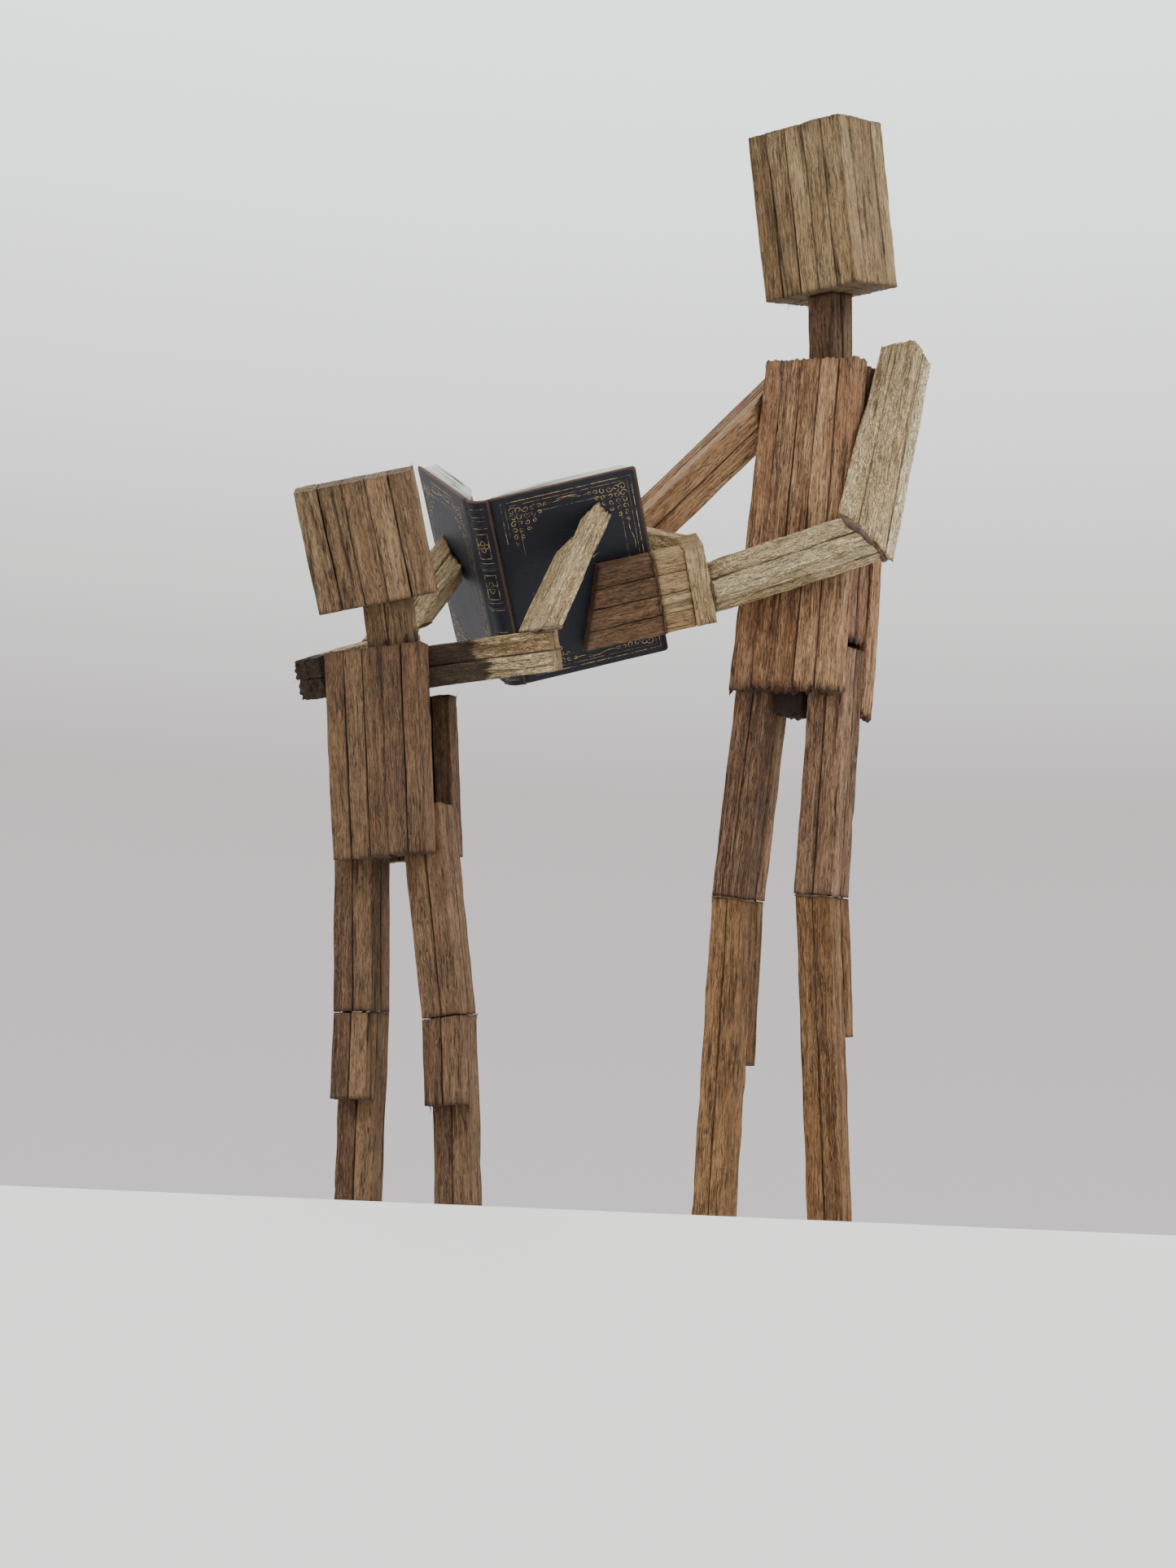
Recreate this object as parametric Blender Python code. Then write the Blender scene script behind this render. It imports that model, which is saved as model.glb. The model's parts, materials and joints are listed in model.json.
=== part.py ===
"""Two stick figures that hold one open miniature book, glued up from square splints.

Lengths are in millimetres and angles in degrees until a mesh or an object is placed, in
metres. +X is the viewer's right, +Y runs away from the viewer and +Z is up. The origin
is on the floor, under the middle of the whole group.
"""
import math

import bmesh
import bpy
from mathutils import Matrix, Vector

MM = 0.001
STICK = 2.1            # side of one square splint
PAIR = 2 * STICK
GAP = 0.06             # clearance between neighbouring pieces
GROOVE_WIDE = 0.24     # mouth of the groove where two splints meet
GROOVE_DEEP = 0.15
PEG_RADIUS = 0.5       # round pegs in necks and hips
BORE_RADIUS = 0.57
PEG_SIDES = 16
HIP_SINK = 5.0         # how far a thigh stands up between the torso panels
HIP_PIN_UP = 2.6       # pin above the torso's lower edge
PIN_BITE = 1.2         # depth of the blind bore in each panel

# Poses: place of the pelvis, then turns about the figure's own axes. "turn" swings the
# figure's right-hand end (as seen) towards the viewer, "side" leans it to the right and
# "away" leans it away from the viewer.
LARGE = {
    "name": "large", "pelvis": (20.4, 11.7, 54.9), "turn": 34.0, "side": 7.4, "away": -5.5,
    "torso_high": 34.8, "panel_top": 11.0, "panel_low": 12.7, "far_hang": 2.0,
    "core_top": 34.6, "core_wide": 10.3, "core_low_wide": 11.6, "near_front": True,
    "neck_high": 7.7, "neck_wide": 3.0, "neck_deep": PAIR, "neck_at": (0.0, 0.0),
    "head_turn": 39.0, "head_side": 1.6, "head_away": -16.0,
    "head_wide": 11.2, "head_deep": 4 * STICK, "head_high": 17.3, "head_shift": 0.2,
}
SMALL = {
    "name": "small", "pelvis": (-19.8, 0.8, 33.8), "turn": 22.0, "side": -3.0, "away": -7.0,
    "torso_high": 20.6, "panel_top": 10.4, "panel_low": 10.2, "far_hang": 0.0,
    "core_top": 16.2, "core_wide": 3 * STICK, "core_low_wide": 3 * STICK, "near_front": False,
    "neck_high": 5.2, "neck_wide": 4.8, "neck_deep": STICK, "neck_at": (0.9, -1.0),
    "head_turn": 2.0, "head_side": -13.5, "head_away": -24.0,
    "head_wide": 11.7, "head_deep": 3 * STICK, "head_high": 12.1, "head_shift": -0.9,
}
# Each leg: figure, which leg, place across the pelvis, thigh lean to the side, thigh
# length, shin lean to the side and away, and the length of the calf strip.
LEGS = (
    (LARGE, "right_leg", -4.7, 9.2, 21.8, -0.3, 4.0, 17.5),
    (LARGE, "left_leg", 4.1, 6.0, 20.8, -0.9, -5.5, 14.5),
    (SMALL, "left_leg", -4.1, -0.2, 14.8, -0.4, -1.8, 8.6),
    (SMALL, "right_leg", 3.7, -6.7, 15.8, -3.9, -2.3, 8.6),
)
SHIN_WIDE = 1.9 * STICK
SHIN_DEEP = 1.15 * STICK

# The open book: top of its right joint, lean of its spine, and the leaves' angles.
BOOK_TOP = (-12.9, -0.8, 70.6)
BOOK_TILT = 38.0       # top edge leans towards the viewer
BOOK_LEAN = 12.5       # spine leans to the left
RIGHT_LEAF = 11.0      # each leaf's fold away from the viewer
LEFT_LEAF = 66.0
SPINE_FOLD = 24.0
COVER_WIDE = 15.5
COVER_HIGH = 20.6
COVER_THICK = 0.55
SPINE_WIDE = 2.6
PAGES_THICK = 1.5
PAGES_INSET = 0.5      # how far the pages stop short of the cover's edges
PAGES_TOP = 0.1
FOLD_CLEAR = 0.25      # room for the left cover to fold against the spine

# Arms: shoulders and elbows as points (across, away, up) from the pelvis in the torso's
# frame. Forearms end on the book, given as (out from the joint, down, behind the cover).
LARGE_LEFT_SHOULDER = (7.5, 2.2, 36.4)
LARGE_LEFT_ELBOW = (9.6, -6.8, 15.3)
LARGE_LEFT_ELBOW_WIDE = 5.3
LARGE_RIGHT_SHOULDER = (-5.9, -1.6, 30.6)
LARGE_RIGHT_ELBOW_AT_BOOK = (14.6, 10.6, 7.6)
LARGE_RIGHT_WRIST_AT_BOOK = (4.3, 9.6, 4.5)
SIDE_OF_TORSO = 5.9
SMALL_LEFT_SHOULDER = (-8.2, -2.0, 18.5)
SMALL_LEFT_ELBOW = (-1.9, 9.0, 22.4)
SMALL_LEFT_TIP_AT_BOOK = (8.7, 8.7)
SMALL_RIGHT_SHOULDER = (3.6, 0.4, 18.8)
SMALL_RIGHT_ELBOW = (16.8, 2.4, 19.45)
SMALL_RIGHT_TIP_AT_BOOK = (9.5, 5.0)
ARM_ROLL = 0.2         # lean of an upper arm's top towards the open side of the group
ELBOW_INSET = 1.3      # a forearm stands on its upper arm this far in from the end
# From the nearer splint of a small forearm to the farther one, and how much short of the
# cover the farther one stops.
RIGHT_PAIR = ((-0.57, 0.82, 0.0), 2.6)
LEFT_PAIR = ((-0.85, 0.30, 0.42), 0.0)

# The large figure's left hand, on the right cover: across from the joint, and down.
HAND_TOP = 9.2
FINGER_PITCH = 2.16
FINGER_TIP_TOP = 9.6   # where the line of the finger tips starts, level with HAND_TOP
FINGER_SLANT = 0.34    # how far that line runs towards the joint for each step down
KNUCKLE_START = 15.35
PALM_START = 18.55
PALM_END = 20.7
THUMB_TIP = 12.6
HIP_BAR_WIDE = 3.2
HIP_BAR_DROP = 2.2

COLOURS = {
    "head_wood": (0.50, 0.36, 0.19), "body_wood": (0.30, 0.18, 0.09),
    "arm_wood": (0.52, 0.38, 0.24), "thigh_wood": (0.22, 0.13, 0.07),
    "shin_wood": (0.42, 0.28, 0.12), "grey_wood": (0.33, 0.25, 0.16),
    "dark_wood": (0.08, 0.05, 0.03), "peg_wood": (0.55, 0.42, 0.26),
    "cover": (0.012, 0.016, 0.032), "paper": (0.80, 0.77, 0.70),
}
ROUGHNESS = {"cover": 0.35, "paper": 0.8}


def make_material(name):
    """A plain Principled material in the colour of one sort of wood, card or paper."""
    material = bpy.data.materials.new(name)
    material.use_nodes = True
    shader = material.node_tree.nodes["Principled BSDF"]
    shader.inputs["Base Color"].default_value = (*COLOURS[name], 1.0)
    shader.inputs["Roughness"].default_value = ROUGHNESS.get(name, 0.75)
    shader.inputs["Metallic"].default_value = 0.0
    return material


def turned_frame(turn, side, away):
    """Axes across, away and up of a piece that is turned and leant by these angles."""
    spin = Matrix.Rotation(math.radians(-turn), 3, "Z")
    lean = Matrix.Rotation(math.radians(side), 3, "Y")
    tip = Matrix.Rotation(math.radians(-away), 3, "X")
    axes = spin @ lean @ tip
    return axes.col[0].copy(), axes.col[1].copy(), axes.col[2].copy()


def outline(wide, deep, across, through):
    """Rectangle about the centre with a groove wherever two splints meet at its edge."""
    def side(length, count):
        marks = []
        for i in range(1, count):
            middle = length * (i / count - 0.5)
            half = GROOVE_WIDE / 2
            marks += [(middle - half, 0.0), (middle, GROOVE_DEEP), (middle + half, 0.0)]
        return [(-length / 2, 0.0)] + marks
    points = [(x, -deep / 2 + cut) for x, cut in side(wide, across)]
    points += [(wide / 2 - cut, y) for y, cut in side(deep, through)]
    points += [(-x, deep / 2 - cut) for x, cut in side(wide, across)]
    points += [(-wide / 2 + cut, -y) for y, cut in side(deep, through)]
    return points


def section_frame(start, end, across):
    """Rotation whose Z runs from start to end and whose X is as near across as it can be."""
    run = (end - start).normalized()
    wide = (across - run * across.dot(run)).normalized()
    return Matrix((wide, run.cross(wide), run)).transposed()


def place(mesh_object, axes, at, body):
    """Put an object at a point in millimetres and hang it on its body's empty."""
    mesh_object.matrix_world = Matrix.LocRotScale(at * MM, axes.to_quaternion(), None)
    mesh_object.parent = body
    mesh_object.matrix_parent_inverse = body.matrix_world.inverted()


def new_object(name, mesh, material):
    mesh_object = bpy.data.objects.new(name, mesh)
    mesh_object.data.materials.append(material)
    bpy.context.scene.collection.objects.link(mesh_object)
    return mesh_object


def bar(name, body, material, start, end, across, size, sticks=(1, 1), cuts=(None, None),
        end_wide=None):
    """A bar of glued splints from start to end, cut square or along the given planes.

    size is (wide, deep) and sticks how many splints it shows each way. A cut is a
    (point, normal) plane. end_wide narrows or widens the far end.
    """
    axes = section_frame(start, end, across)
    back = axes.transposed()
    length = (end - start).length
    planes = []
    for cut, z in zip(cuts, (0.0, length)):
        if cut is None:
            planes.append((Vector((0.0, 0.0, z)), Vector((0.0, 0.0, 1.0))))
        else:
            planes.append((back @ (cut[0] - start), back @ cut[1]))
    spread = ((end_wide or size[0]) / size[0] - 1.0) / length
    rows = []
    for point, normal in planes:
        row = []
        for x, y in outline(size[0], size[1], *sticks):
            # The edge line starts at (x, y, 0) and runs along (x * spread, 0, 1).
            foot = Vector((x, y, 0.0))
            run = Vector((x * spread, 0.0, 1.0))
            row.append(foot + run * ((point - foot).dot(normal) / run.dot(normal)))
        rows.append(row)
    count = len(rows[0])
    faces = [tuple(reversed(range(count))), tuple(range(count, 2 * count))]
    for i in range(count):
        j = (i + 1) % count
        faces.append((i, j, count + j, count + i))
    mesh = bpy.data.meshes.new(name)
    mesh.from_pydata([p * MM for p in rows[0] + rows[1]], [], faces)
    mesh_object = new_object(name, mesh, material)
    place(mesh_object, axes, start, body)
    return mesh_object


def round_bar(name, material, start, end, radius, body):
    """A round peg, or the cutter for its bore, from start to end."""
    mesh = bpy.data.meshes.new(name)
    shape = bmesh.new()
    bmesh.ops.create_cone(shape, cap_ends=True, segments=PEG_SIDES, radius1=radius * MM,
                          radius2=radius * MM, depth=(end - start).length * MM)
    shape.to_mesh(mesh)
    shape.free()
    mesh_object = new_object(name, mesh, material)
    axes = section_frame(start, end, Vector((0.31, 0.9, 0.3)))
    place(mesh_object, axes, (start + end) / 2, body)
    return mesh_object


def drill(target, name, start, end, body, material):
    """Cut a round bore through or into a piece."""
    cutter = round_bar(name, material, start, end, BORE_RADIUS, body)
    cutter.hide_render = True
    cutter.display_type = "WIRE"
    cut = target.modifiers.new("bore", "BOOLEAN")
    cut.operation = "DIFFERENCE"
    cut.solver = "EXACT"
    cut.object = cutter


def new_body(name, at, parent):
    """An empty on a joint's axis that carries one moving body."""
    empty = bpy.data.objects.new(name, None)
    empty.empty_display_size = 3 * MM
    bpy.context.scene.collection.objects.link(empty)
    empty.matrix_world = Matrix.Translation(at * MM)
    if parent is not None:
        empty.parent = parent
        empty.matrix_parent_inverse = parent.matrix_world.inverted()
    bpy.context.view_layer.update()
    return empty


class Figure:
    """One figure's torso frame, with points given across, away and up from its pelvis."""

    def __init__(self, pose):
        self.pose = pose
        self.name = pose["name"]
        self.pelvis = Vector(pose["pelvis"])
        self.across, self.away, self.up = turned_frame(pose["turn"], pose["side"], pose["away"])

    def at(self, across, away, up):
        return self.pelvis + self.across * across + self.away * away + self.up * up


def build_torso(figure, body, wood):
    """Near and far panels with a recessed core between them."""
    pose = figure.pose
    panel_off = 1.5 * STICK + GAP
    near = "front" if pose["near_front"] else "back"
    far = "back" if pose["near_front"] else "front"
    tops = {near: pose["torso_high"], far: pose["torso_high"] if pose["near_front"] else pose["core_top"]}
    lows = {near: 0.0, far: -pose["far_hang"]}
    panels = []
    for label, side in ((near, -1), (far, 1)):
        start = figure.at(0, side * panel_off, lows[label])
        end = figure.at(0, side * panel_off, tops[label])
        panels.append(bar(f"{figure.name}_torso_{label}", body, wood, start, end, figure.across,
                          (pose["panel_low"], STICK), (5, 1), end_wide=pose["panel_top"]))
    core_low = HIP_SINK + 0.5
    bar(f"{figure.name}_torso_core", body, wood, figure.at(0, 0, core_low),
        figure.at(0, 0, pose["core_top"]), figure.across,
        (pose["core_low_wide"], PAIR), (int(pose["core_wide"] / STICK), 2), end_wide=pose["core_wide"])
    return panels


def build_leg(figure, spec, panels, root, materials):
    """Thigh on its hip pin, then the shin down to the floor and the calf strip behind it."""
    _, label, hip_x, side, thigh_long, shin_side, shin_away, calf_long = spec
    pose = figure.pose
    name = f"{figure.name}_{label}"
    pin_at = figure.at(hip_x, 0, HIP_PIN_UP)
    body = new_body(f"{name}_hip_axis", pin_at, root)
    across, away, up = turned_frame(pose["turn"], side, pose["away"])
    knee = figure.at(hip_x, 0, 0) - up * thigh_long
    top = figure.at(hip_x, 0, 0) + up * (HIP_SINK - 0.1)
    thigh_deep = PAIR - 2 * GAP
    thigh = bar(f"{name}_thigh", body, materials["thigh"], knee + up * GAP, top, across,
                (PAIR, thigh_deep), (2, 2))
    reach = STICK + GAP + PIN_BITE
    pin_run = figure.away * reach
    drill(thigh, f"{name}_bore_cutter", pin_at - pin_run, pin_at + pin_run, body, materials["peg"])
    pin_end = figure.away * (reach - GAP)
    round_bar(f"{name}_hip_pin", materials["peg"], pin_at - pin_end, pin_at + pin_end, PEG_RADIUS, root)
    for panel in panels:
        drill(panel, f"{name}_{panel.name[-5:]}_cutter", pin_at - pin_run, pin_at + pin_run, root,
              materials["peg"])
    s_across, s_away, s_up = turned_frame(pose["turn"], shin_side, shin_away)
    floor = (Vector((0, 0, 0)), Vector((0, 0, 1)))
    knee_cut = (knee - up * GAP, up)
    # The calf strip is on the back of the leg: far side of a figure that faces the viewer.
    calf_side = 1 if pose["near_front"] else -1
    shin_off = -calf_side * (PAIR - SHIN_DEEP) / 2
    shin_axis = knee + s_away * shin_off
    foot = shin_axis - s_up * (shin_axis.z / s_up.z)
    bar(f"{name}_shin", body, materials["shin"], foot, shin_axis, s_across,
        (SHIN_WIDE, SHIN_DEEP), (2, 1), (floor, knee_cut))
    calf_deep = PAIR - SHIN_DEEP
    calf_axis = knee + s_away * (calf_side * ((PAIR - calf_deep) / 2 + GAP))
    bar(f"{name}_calf", body, materials["shin"], calf_axis - s_up * calf_long, calf_axis, s_across,
        (SHIN_WIDE, calf_deep), (2, 1), (None, knee_cut))


def build_head(figure, root, materials):
    """Neck bar, its peg, and a head of three layers that turns on the peg."""
    pose = figure.pose
    across, away, up = turned_frame(pose["head_turn"], pose["head_side"], pose["head_away"])
    shift_x, shift_y = pose["neck_at"]
    neck_low = pose["core_top"] + GAP
    line = (figure.up + up).normalized()
    brim = figure.at(shift_x, shift_y, pose["torso_high"])
    root_of_neck = brim - line * ((pose["torso_high"] - neck_low) / line.dot(figure.up))
    chin = brim + line * pose["neck_high"]
    neck = bar(f"{figure.name}_neck", root, materials["neck"], root_of_neck, chin, figure.across,
               (pose["neck_wide"], pose["neck_deep"]), (2, 1) if pose["neck_deep"] < PAIR else (1, 2),
               ((root_of_neck, figure.up), (chin - up * GAP, up)))
    peg_low = chin - up * 2.6
    peg_high = chin + up * 3.0
    drill(neck, f"{figure.name}_neck_cutter", peg_low, chin + up, root, materials["peg"])
    round_bar(f"{figure.name}_neck_peg", materials["peg"], peg_low + up * GAP, peg_high, PEG_RADIUS, root)
    body = new_body(f"{figure.name}_head_axis", chin, root)
    deep = pose["head_deep"]
    layers = int(round(deep / STICK))
    middle = (layers - 2) * STICK
    parts = (("near", -(middle + STICK) / 2 - GAP, STICK), ("core", 0.0, middle),
             ("far", (middle + STICK) / 2 + GAP, STICK))
    names = {"near": "face", "far": "back"} if pose["near_front"] else {"near": "back", "far": "face"}
    for part, off, thick in parts:
        label = names.get(part, part)
        low = chin + across * pose["head_shift"] + away * off
        layer = bar(f"{figure.name}_head_{label}", body, materials["head"], low,
                    low + up * pose["head_high"], across, (pose["head_wide"], thick), (5, 1))
        if part == "core":
            drill(layer, f"{figure.name}_head_cutter", chin - up, peg_high + up * GAP * 2, body,
                  materials["peg"])


def mitred_arm(name, body, wood, points, across, size, sticks, ends, elbow_wide):
    """Upper arm, as wide as elbow_wide at its lower end, and forearm, joined in a mitre."""
    shoulder, elbow, wrist = points
    upper = (elbow - shoulder).normalized()
    lower = (wrist - elbow).normalized()
    mitre = (upper + lower).normalized()
    bar(f"{name}_upper_arm", body, wood, shoulder, elbow, across, size, sticks,
        (ends[0], (elbow - mitre * GAP / 2, mitre)), end_wide=elbow_wide)
    bar(f"{name}_forearm", body, wood, elbow, wrist, across, size, sticks,
        ((elbow + mitre * GAP / 2, mitre), ends[1]))


class Leaf:
    """A cover's own axes: out from its joint, up the spine and away from its outer face."""

    def __init__(self, joint, out, up, inward):
        self.joint, self.out, self.up, self.inward = joint, out, up, inward

    def at(self, out, down, deep):
        return self.joint + self.out * out - self.up * down + self.inward * deep


def book_leaves():
    """The right and left leaves of the open book, and the direction across its spine."""
    tilt, lean = math.radians(BOOK_TILT), math.radians(BOOK_LEAN)
    up = Vector((-math.sin(lean), -math.sin(tilt) * math.cos(lean), math.cos(tilt) * math.cos(lean)))
    level = (Vector((1, 0, 0)) - up * up.x).normalized()
    away = up.cross(level)
    top = Vector(BOOK_TOP)

    def swung(sign, angle):
        return level * (sign * math.cos(math.radians(angle))) + away * math.sin(math.radians(angle))
    out_right, across, out_left = swung(1, RIGHT_LEAF), swung(-1, SPINE_FOLD), swung(-1, LEFT_LEAF)
    right = Leaf(top, out_right, up, up.cross(out_right))
    left = Leaf(top + across * SPINE_WIDE, out_left, up, out_left.cross(up))
    return right, left, across


def plate(name, body, material, leaf, out, down, deep):
    """A flat piece of a leaf between the given distances out, down and deep."""
    middle = ((out[0] + out[1]) / 2, (deep[0] + deep[1]) / 2)
    low = leaf.at(middle[0], down[1], middle[1])
    high = leaf.at(middle[0], down[0], middle[1])
    return bar(name, body, material, low, high, leaf.out, (out[1] - out[0], deep[1] - deep[0]))


def build_book(root, materials):
    """Two covers and their page blocks; the left leaf folds about its joint."""
    right, left, across = book_leaves()
    hinge = left.at(0, COVER_HIGH / 2, COVER_THICK / 2)
    body = new_body("book_left_leaf_axis", hinge, root)
    pages_deep = (COVER_THICK + GAP, COVER_THICK + GAP + PAGES_THICK)
    pages_down = (PAGES_TOP, COVER_HIGH - PAGES_INSET)
    for label, leaf, owner, clear in (("right", right, root, GAP), ("left", left, body, FOLD_CLEAR)):
        plate(f"book_{label}_cover", owner, materials["cover"], leaf, (clear, COVER_WIDE),
              (0, COVER_HIGH), (0, COVER_THICK))
        plate(f"book_{label}_pages", owner, materials["paper"], leaf,
              (1.3, COVER_WIDE - PAGES_INSET), pages_down, pages_deep)
    spine = Leaf(right.joint, across, right.up, across.cross(right.up))
    plate("book_spine", root, materials["cover"], spine, (3 * GAP, SPINE_WIDE - FOLD_CLEAR),
          (0, COVER_HIGH), (-0.2, COVER_THICK - 0.2))
    return right, left


def build_hand(leaf, body, materials):
    """Palm post, knuckle block and four fingers in front of the right cover, thumb behind."""
    finger_deep = STICK
    middle = -(finger_deep / 2 + GAP)
    bottom = HAND_TOP + 4 * FINGER_PITCH

    def upright(name, wood, start, end, deep, off, sticks):
        low = leaf.at((start + end) / 2, bottom, off)
        high = leaf.at((start + end) / 2, HAND_TOP, off)
        bar(name, body, wood, low, high, leaf.out, (end - start, deep), sticks)
    upright("large_left_knuckles", materials["arm"], KNUCKLE_START, PALM_START - GAP, finger_deep,
            middle, (1, 1))
    upright("large_left_palm", materials["arm"], PALM_START, PALM_END, 2 * finger_deep,
            middle + finger_deep / 2, (1, 2))
    slant = (leaf.up * FINGER_SLANT - leaf.out).normalized()
    for i in range(4):
        below = (i + 0.5) * FINGER_PITCH
        tip = leaf.at(FINGER_TIP_TOP - FINGER_SLANT * below, HAND_TOP + below, middle)
        bar(f"large_left_finger_{i + 1}", body, materials["finger"],
            leaf.at(KNUCKLE_START - GAP, HAND_TOP + below, middle), tip, leaf.up,
            (FINGER_PITCH - GAP, finger_deep), (1, 1), (None, (tip, slant)))
    grip = COVER_THICK + PAGES_THICK + 2 * GAP + STICK / 2
    bar("large_left_thumb", body, materials["arm"], leaf.at(PALM_START + 1.6, HAND_TOP + 1.9, grip + GAP),
        leaf.at(THUMB_TIP, HAND_TOP - 1.8, grip + GAP), leaf.up, (STICK, STICK), (1, 1))


def build_large_arms(figure, leaf, body, materials):
    """Left arm to the hand on the book, right arm to a hand behind the open pages."""
    square = (PAIR - 2 * GAP, PAIR - 2 * GAP)
    wrist = leaf.at(PALM_END + GAP, HAND_TOP + 2.6 * FINGER_PITCH, -0.1)
    mitred_arm("large_left", body, materials["arm"],
               (figure.at(*LARGE_LEFT_SHOULDER), figure.at(*LARGE_LEFT_ELBOW), wrist),
               figure.across, square, (2, 2), (None, (wrist, leaf.out)), LARGE_LEFT_ELBOW_WIDE)
    side = (figure.at(-SIDE_OF_TORSO, 0, 0), figure.across)
    wrist = leaf.at(*LARGE_RIGHT_WRIST_AT_BOOK)
    mitred_arm("large_right", body, materials["arm"],
               (figure.at(*LARGE_RIGHT_SHOULDER), leaf.at(*LARGE_RIGHT_ELBOW_AT_BOOK), wrist),
               leaf.inward, square, (2, 2), (side, (wrist, leaf.out)), square[0])
    palm = Vector(LARGE_RIGHT_WRIST_AT_BOOK) - Vector((GAP + STICK / 2, 0, 0))
    half = 2 * FINGER_PITCH
    bar("large_right_palm", body, materials["arm"], leaf.at(palm.x, palm.y + half, palm.z),
        leaf.at(palm.x, palm.y - half, palm.z), leaf.out, (STICK, PAIR - 2 * GAP), (1, 2))


def build_small_arms(figure, leaves, body, materials):
    """Square upper arms with forearms of two splints that stand on them and end on the covers."""
    square = (PAIR - 2 * GAP, PAIR - 2 * GAP)
    arms = (("right", SMALL_RIGHT_SHOULDER, SMALL_RIGHT_ELBOW, SMALL_RIGHT_TIP_AT_BOOK, leaves[0],
             RIGHT_PAIR),
            ("left", SMALL_LEFT_SHOULDER, SMALL_LEFT_ELBOW, SMALL_LEFT_TIP_AT_BOOK, leaves[1],
             LEFT_PAIR))
    for label, shoulder, elbow, (out, down), leaf, (pair_line, short) in arms:
        shoulder, elbow = figure.at(*shoulder), figure.at(*elbow)
        run = (elbow - shoulder).normalized()
        rise = figure.up - figure.away * ARM_ROLL
        rise = (rise - run * rise.dot(run)).normalized()
        bar(f"small_{label}_upper_arm", body, materials["grey"], shoulder, elbow, rise, square, (2, 2))
        base = elbow - run * ELBOW_INSET + rise * (PAIR / 2)
        tip = leaf.at(out, down, -GAP)
        climb = (tip - base).normalized()
        pair = Vector(pair_line)
        pair = (pair - climb * pair.dot(climb)).normalized()
        for part, side in (("near", -1), ("far", 1)):
            off = pair * (side * (STICK + GAP) / 2)
            stop = tip - climb * (short if side > 0 else 0.0)
            bar(f"small_{label}_forearm_{part}", body, materials["arm"], base + off, stop + off,
                pair, (STICK - GAP, STICK), (1, 1), ((base, rise), (stop, leaf.inward)))


def build_hip_bar(figure, body, materials):
    """Dark bar that hangs from the core between the two thighs."""
    middle = (LEGS[0][2] + LEGS[1][2]) / 2
    bar("large_hip_bar", body, materials["dark"], figure.at(middle, 0, -HIP_BAR_DROP),
        figure.at(middle, 0, HIP_SINK + 0.5 - GAP), figure.across, (HIP_BAR_WIDE, PAIR), (1, 2))


def build_pair():
    materials = {}
    for key, name in (("head", "head_wood"), ("body", "body_wood"), ("arm", "arm_wood"),
                      ("thigh", "thigh_wood"), ("shin", "shin_wood"), ("grey", "grey_wood"),
                      ("dark", "dark_wood"), ("peg", "peg_wood"), ("cover", "cover"),
                      ("paper", "paper")):
        materials[key] = make_material(name)
    materials["finger"] = materials["body"]
    root = new_body("group", Vector((0, 0, 0)), None)
    large, small = Figure(LARGE), Figure(SMALL)
    right, left = build_book(root, materials)
    small_body = new_body("small_figure_axis", small.pelvis, root)
    for figure, body, wood in ((large, root, "body"), (small, small_body, "grey")):
        panels = build_torso(figure, body, materials[wood])
        woods = dict(materials)
        woods["neck"] = materials[wood]
        if figure is small:
            woods.update(head=materials["grey"], thigh=materials["grey"], shin=materials["grey"])
        for spec in LEGS:
            if spec[0] is figure.pose:
                build_leg(figure, spec, panels, body, woods)
        build_head(figure, body, woods)
    build_hand(right, root, materials)
    build_large_arms(large, right, root, materials)
    build_small_arms(small, (right, left), small_body, materials)
    build_hip_bar(large, root, materials)
    return root


def centre_over_origin(root):
    """Slide the group level so that its bounding box stands square over the origin."""
    bpy.context.view_layer.update()
    corners = [part.matrix_world @ vertex.co for part in bpy.data.objects
               if part.type == "MESH" and not part.hide_render for vertex in part.data.vertices]
    for axis in (0, 1):
        reach = [corner[axis] for corner in corners]
        root.location[axis] -= (min(reach) + max(reach)) / 2


def main():
    for item in list(bpy.data.objects):
        bpy.data.objects.remove(item, do_unlink=True)
    centre_over_origin(build_pair())


main()
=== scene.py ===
"""Looks of two stick figures that hold one miniature book.

Every bar of the frame is rebuilt as the square splints that it is glued up from, with
raised fibres, torn ends, scorched spots, painted shade in the grooves between the splints,
and painted shade on the parts that sit in shadow. The book gets cloth boards, a ribbed
spine, gilt lines and loose sheets. Lengths are in millimetres until a mesh is made, in metres.
"""
import json
import math
import zlib

import bpy
import numpy as np
from mathutils import Matrix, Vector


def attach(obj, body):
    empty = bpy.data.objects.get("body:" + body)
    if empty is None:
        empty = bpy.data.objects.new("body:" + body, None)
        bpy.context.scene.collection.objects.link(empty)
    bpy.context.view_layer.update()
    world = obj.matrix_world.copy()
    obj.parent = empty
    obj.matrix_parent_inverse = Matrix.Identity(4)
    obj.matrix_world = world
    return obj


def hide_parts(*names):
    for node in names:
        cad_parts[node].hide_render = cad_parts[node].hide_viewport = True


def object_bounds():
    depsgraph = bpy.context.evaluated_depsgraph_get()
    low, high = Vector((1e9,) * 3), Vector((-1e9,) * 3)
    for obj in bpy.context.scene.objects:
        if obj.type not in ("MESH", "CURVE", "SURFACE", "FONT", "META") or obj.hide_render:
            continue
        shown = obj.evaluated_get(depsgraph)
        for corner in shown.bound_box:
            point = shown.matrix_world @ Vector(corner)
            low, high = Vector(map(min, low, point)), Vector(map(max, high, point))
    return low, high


bl_info = {
    "name": "Splint Figures With Book",
    "version": (1, 0, 0),
    "blender": (4, 5, 0),
    "location": "View3D > Sidebar > Figures",
    "description": "Builds the wood, book and glue of two splint figures around their frame",
    "category": "Object",
}

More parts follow.
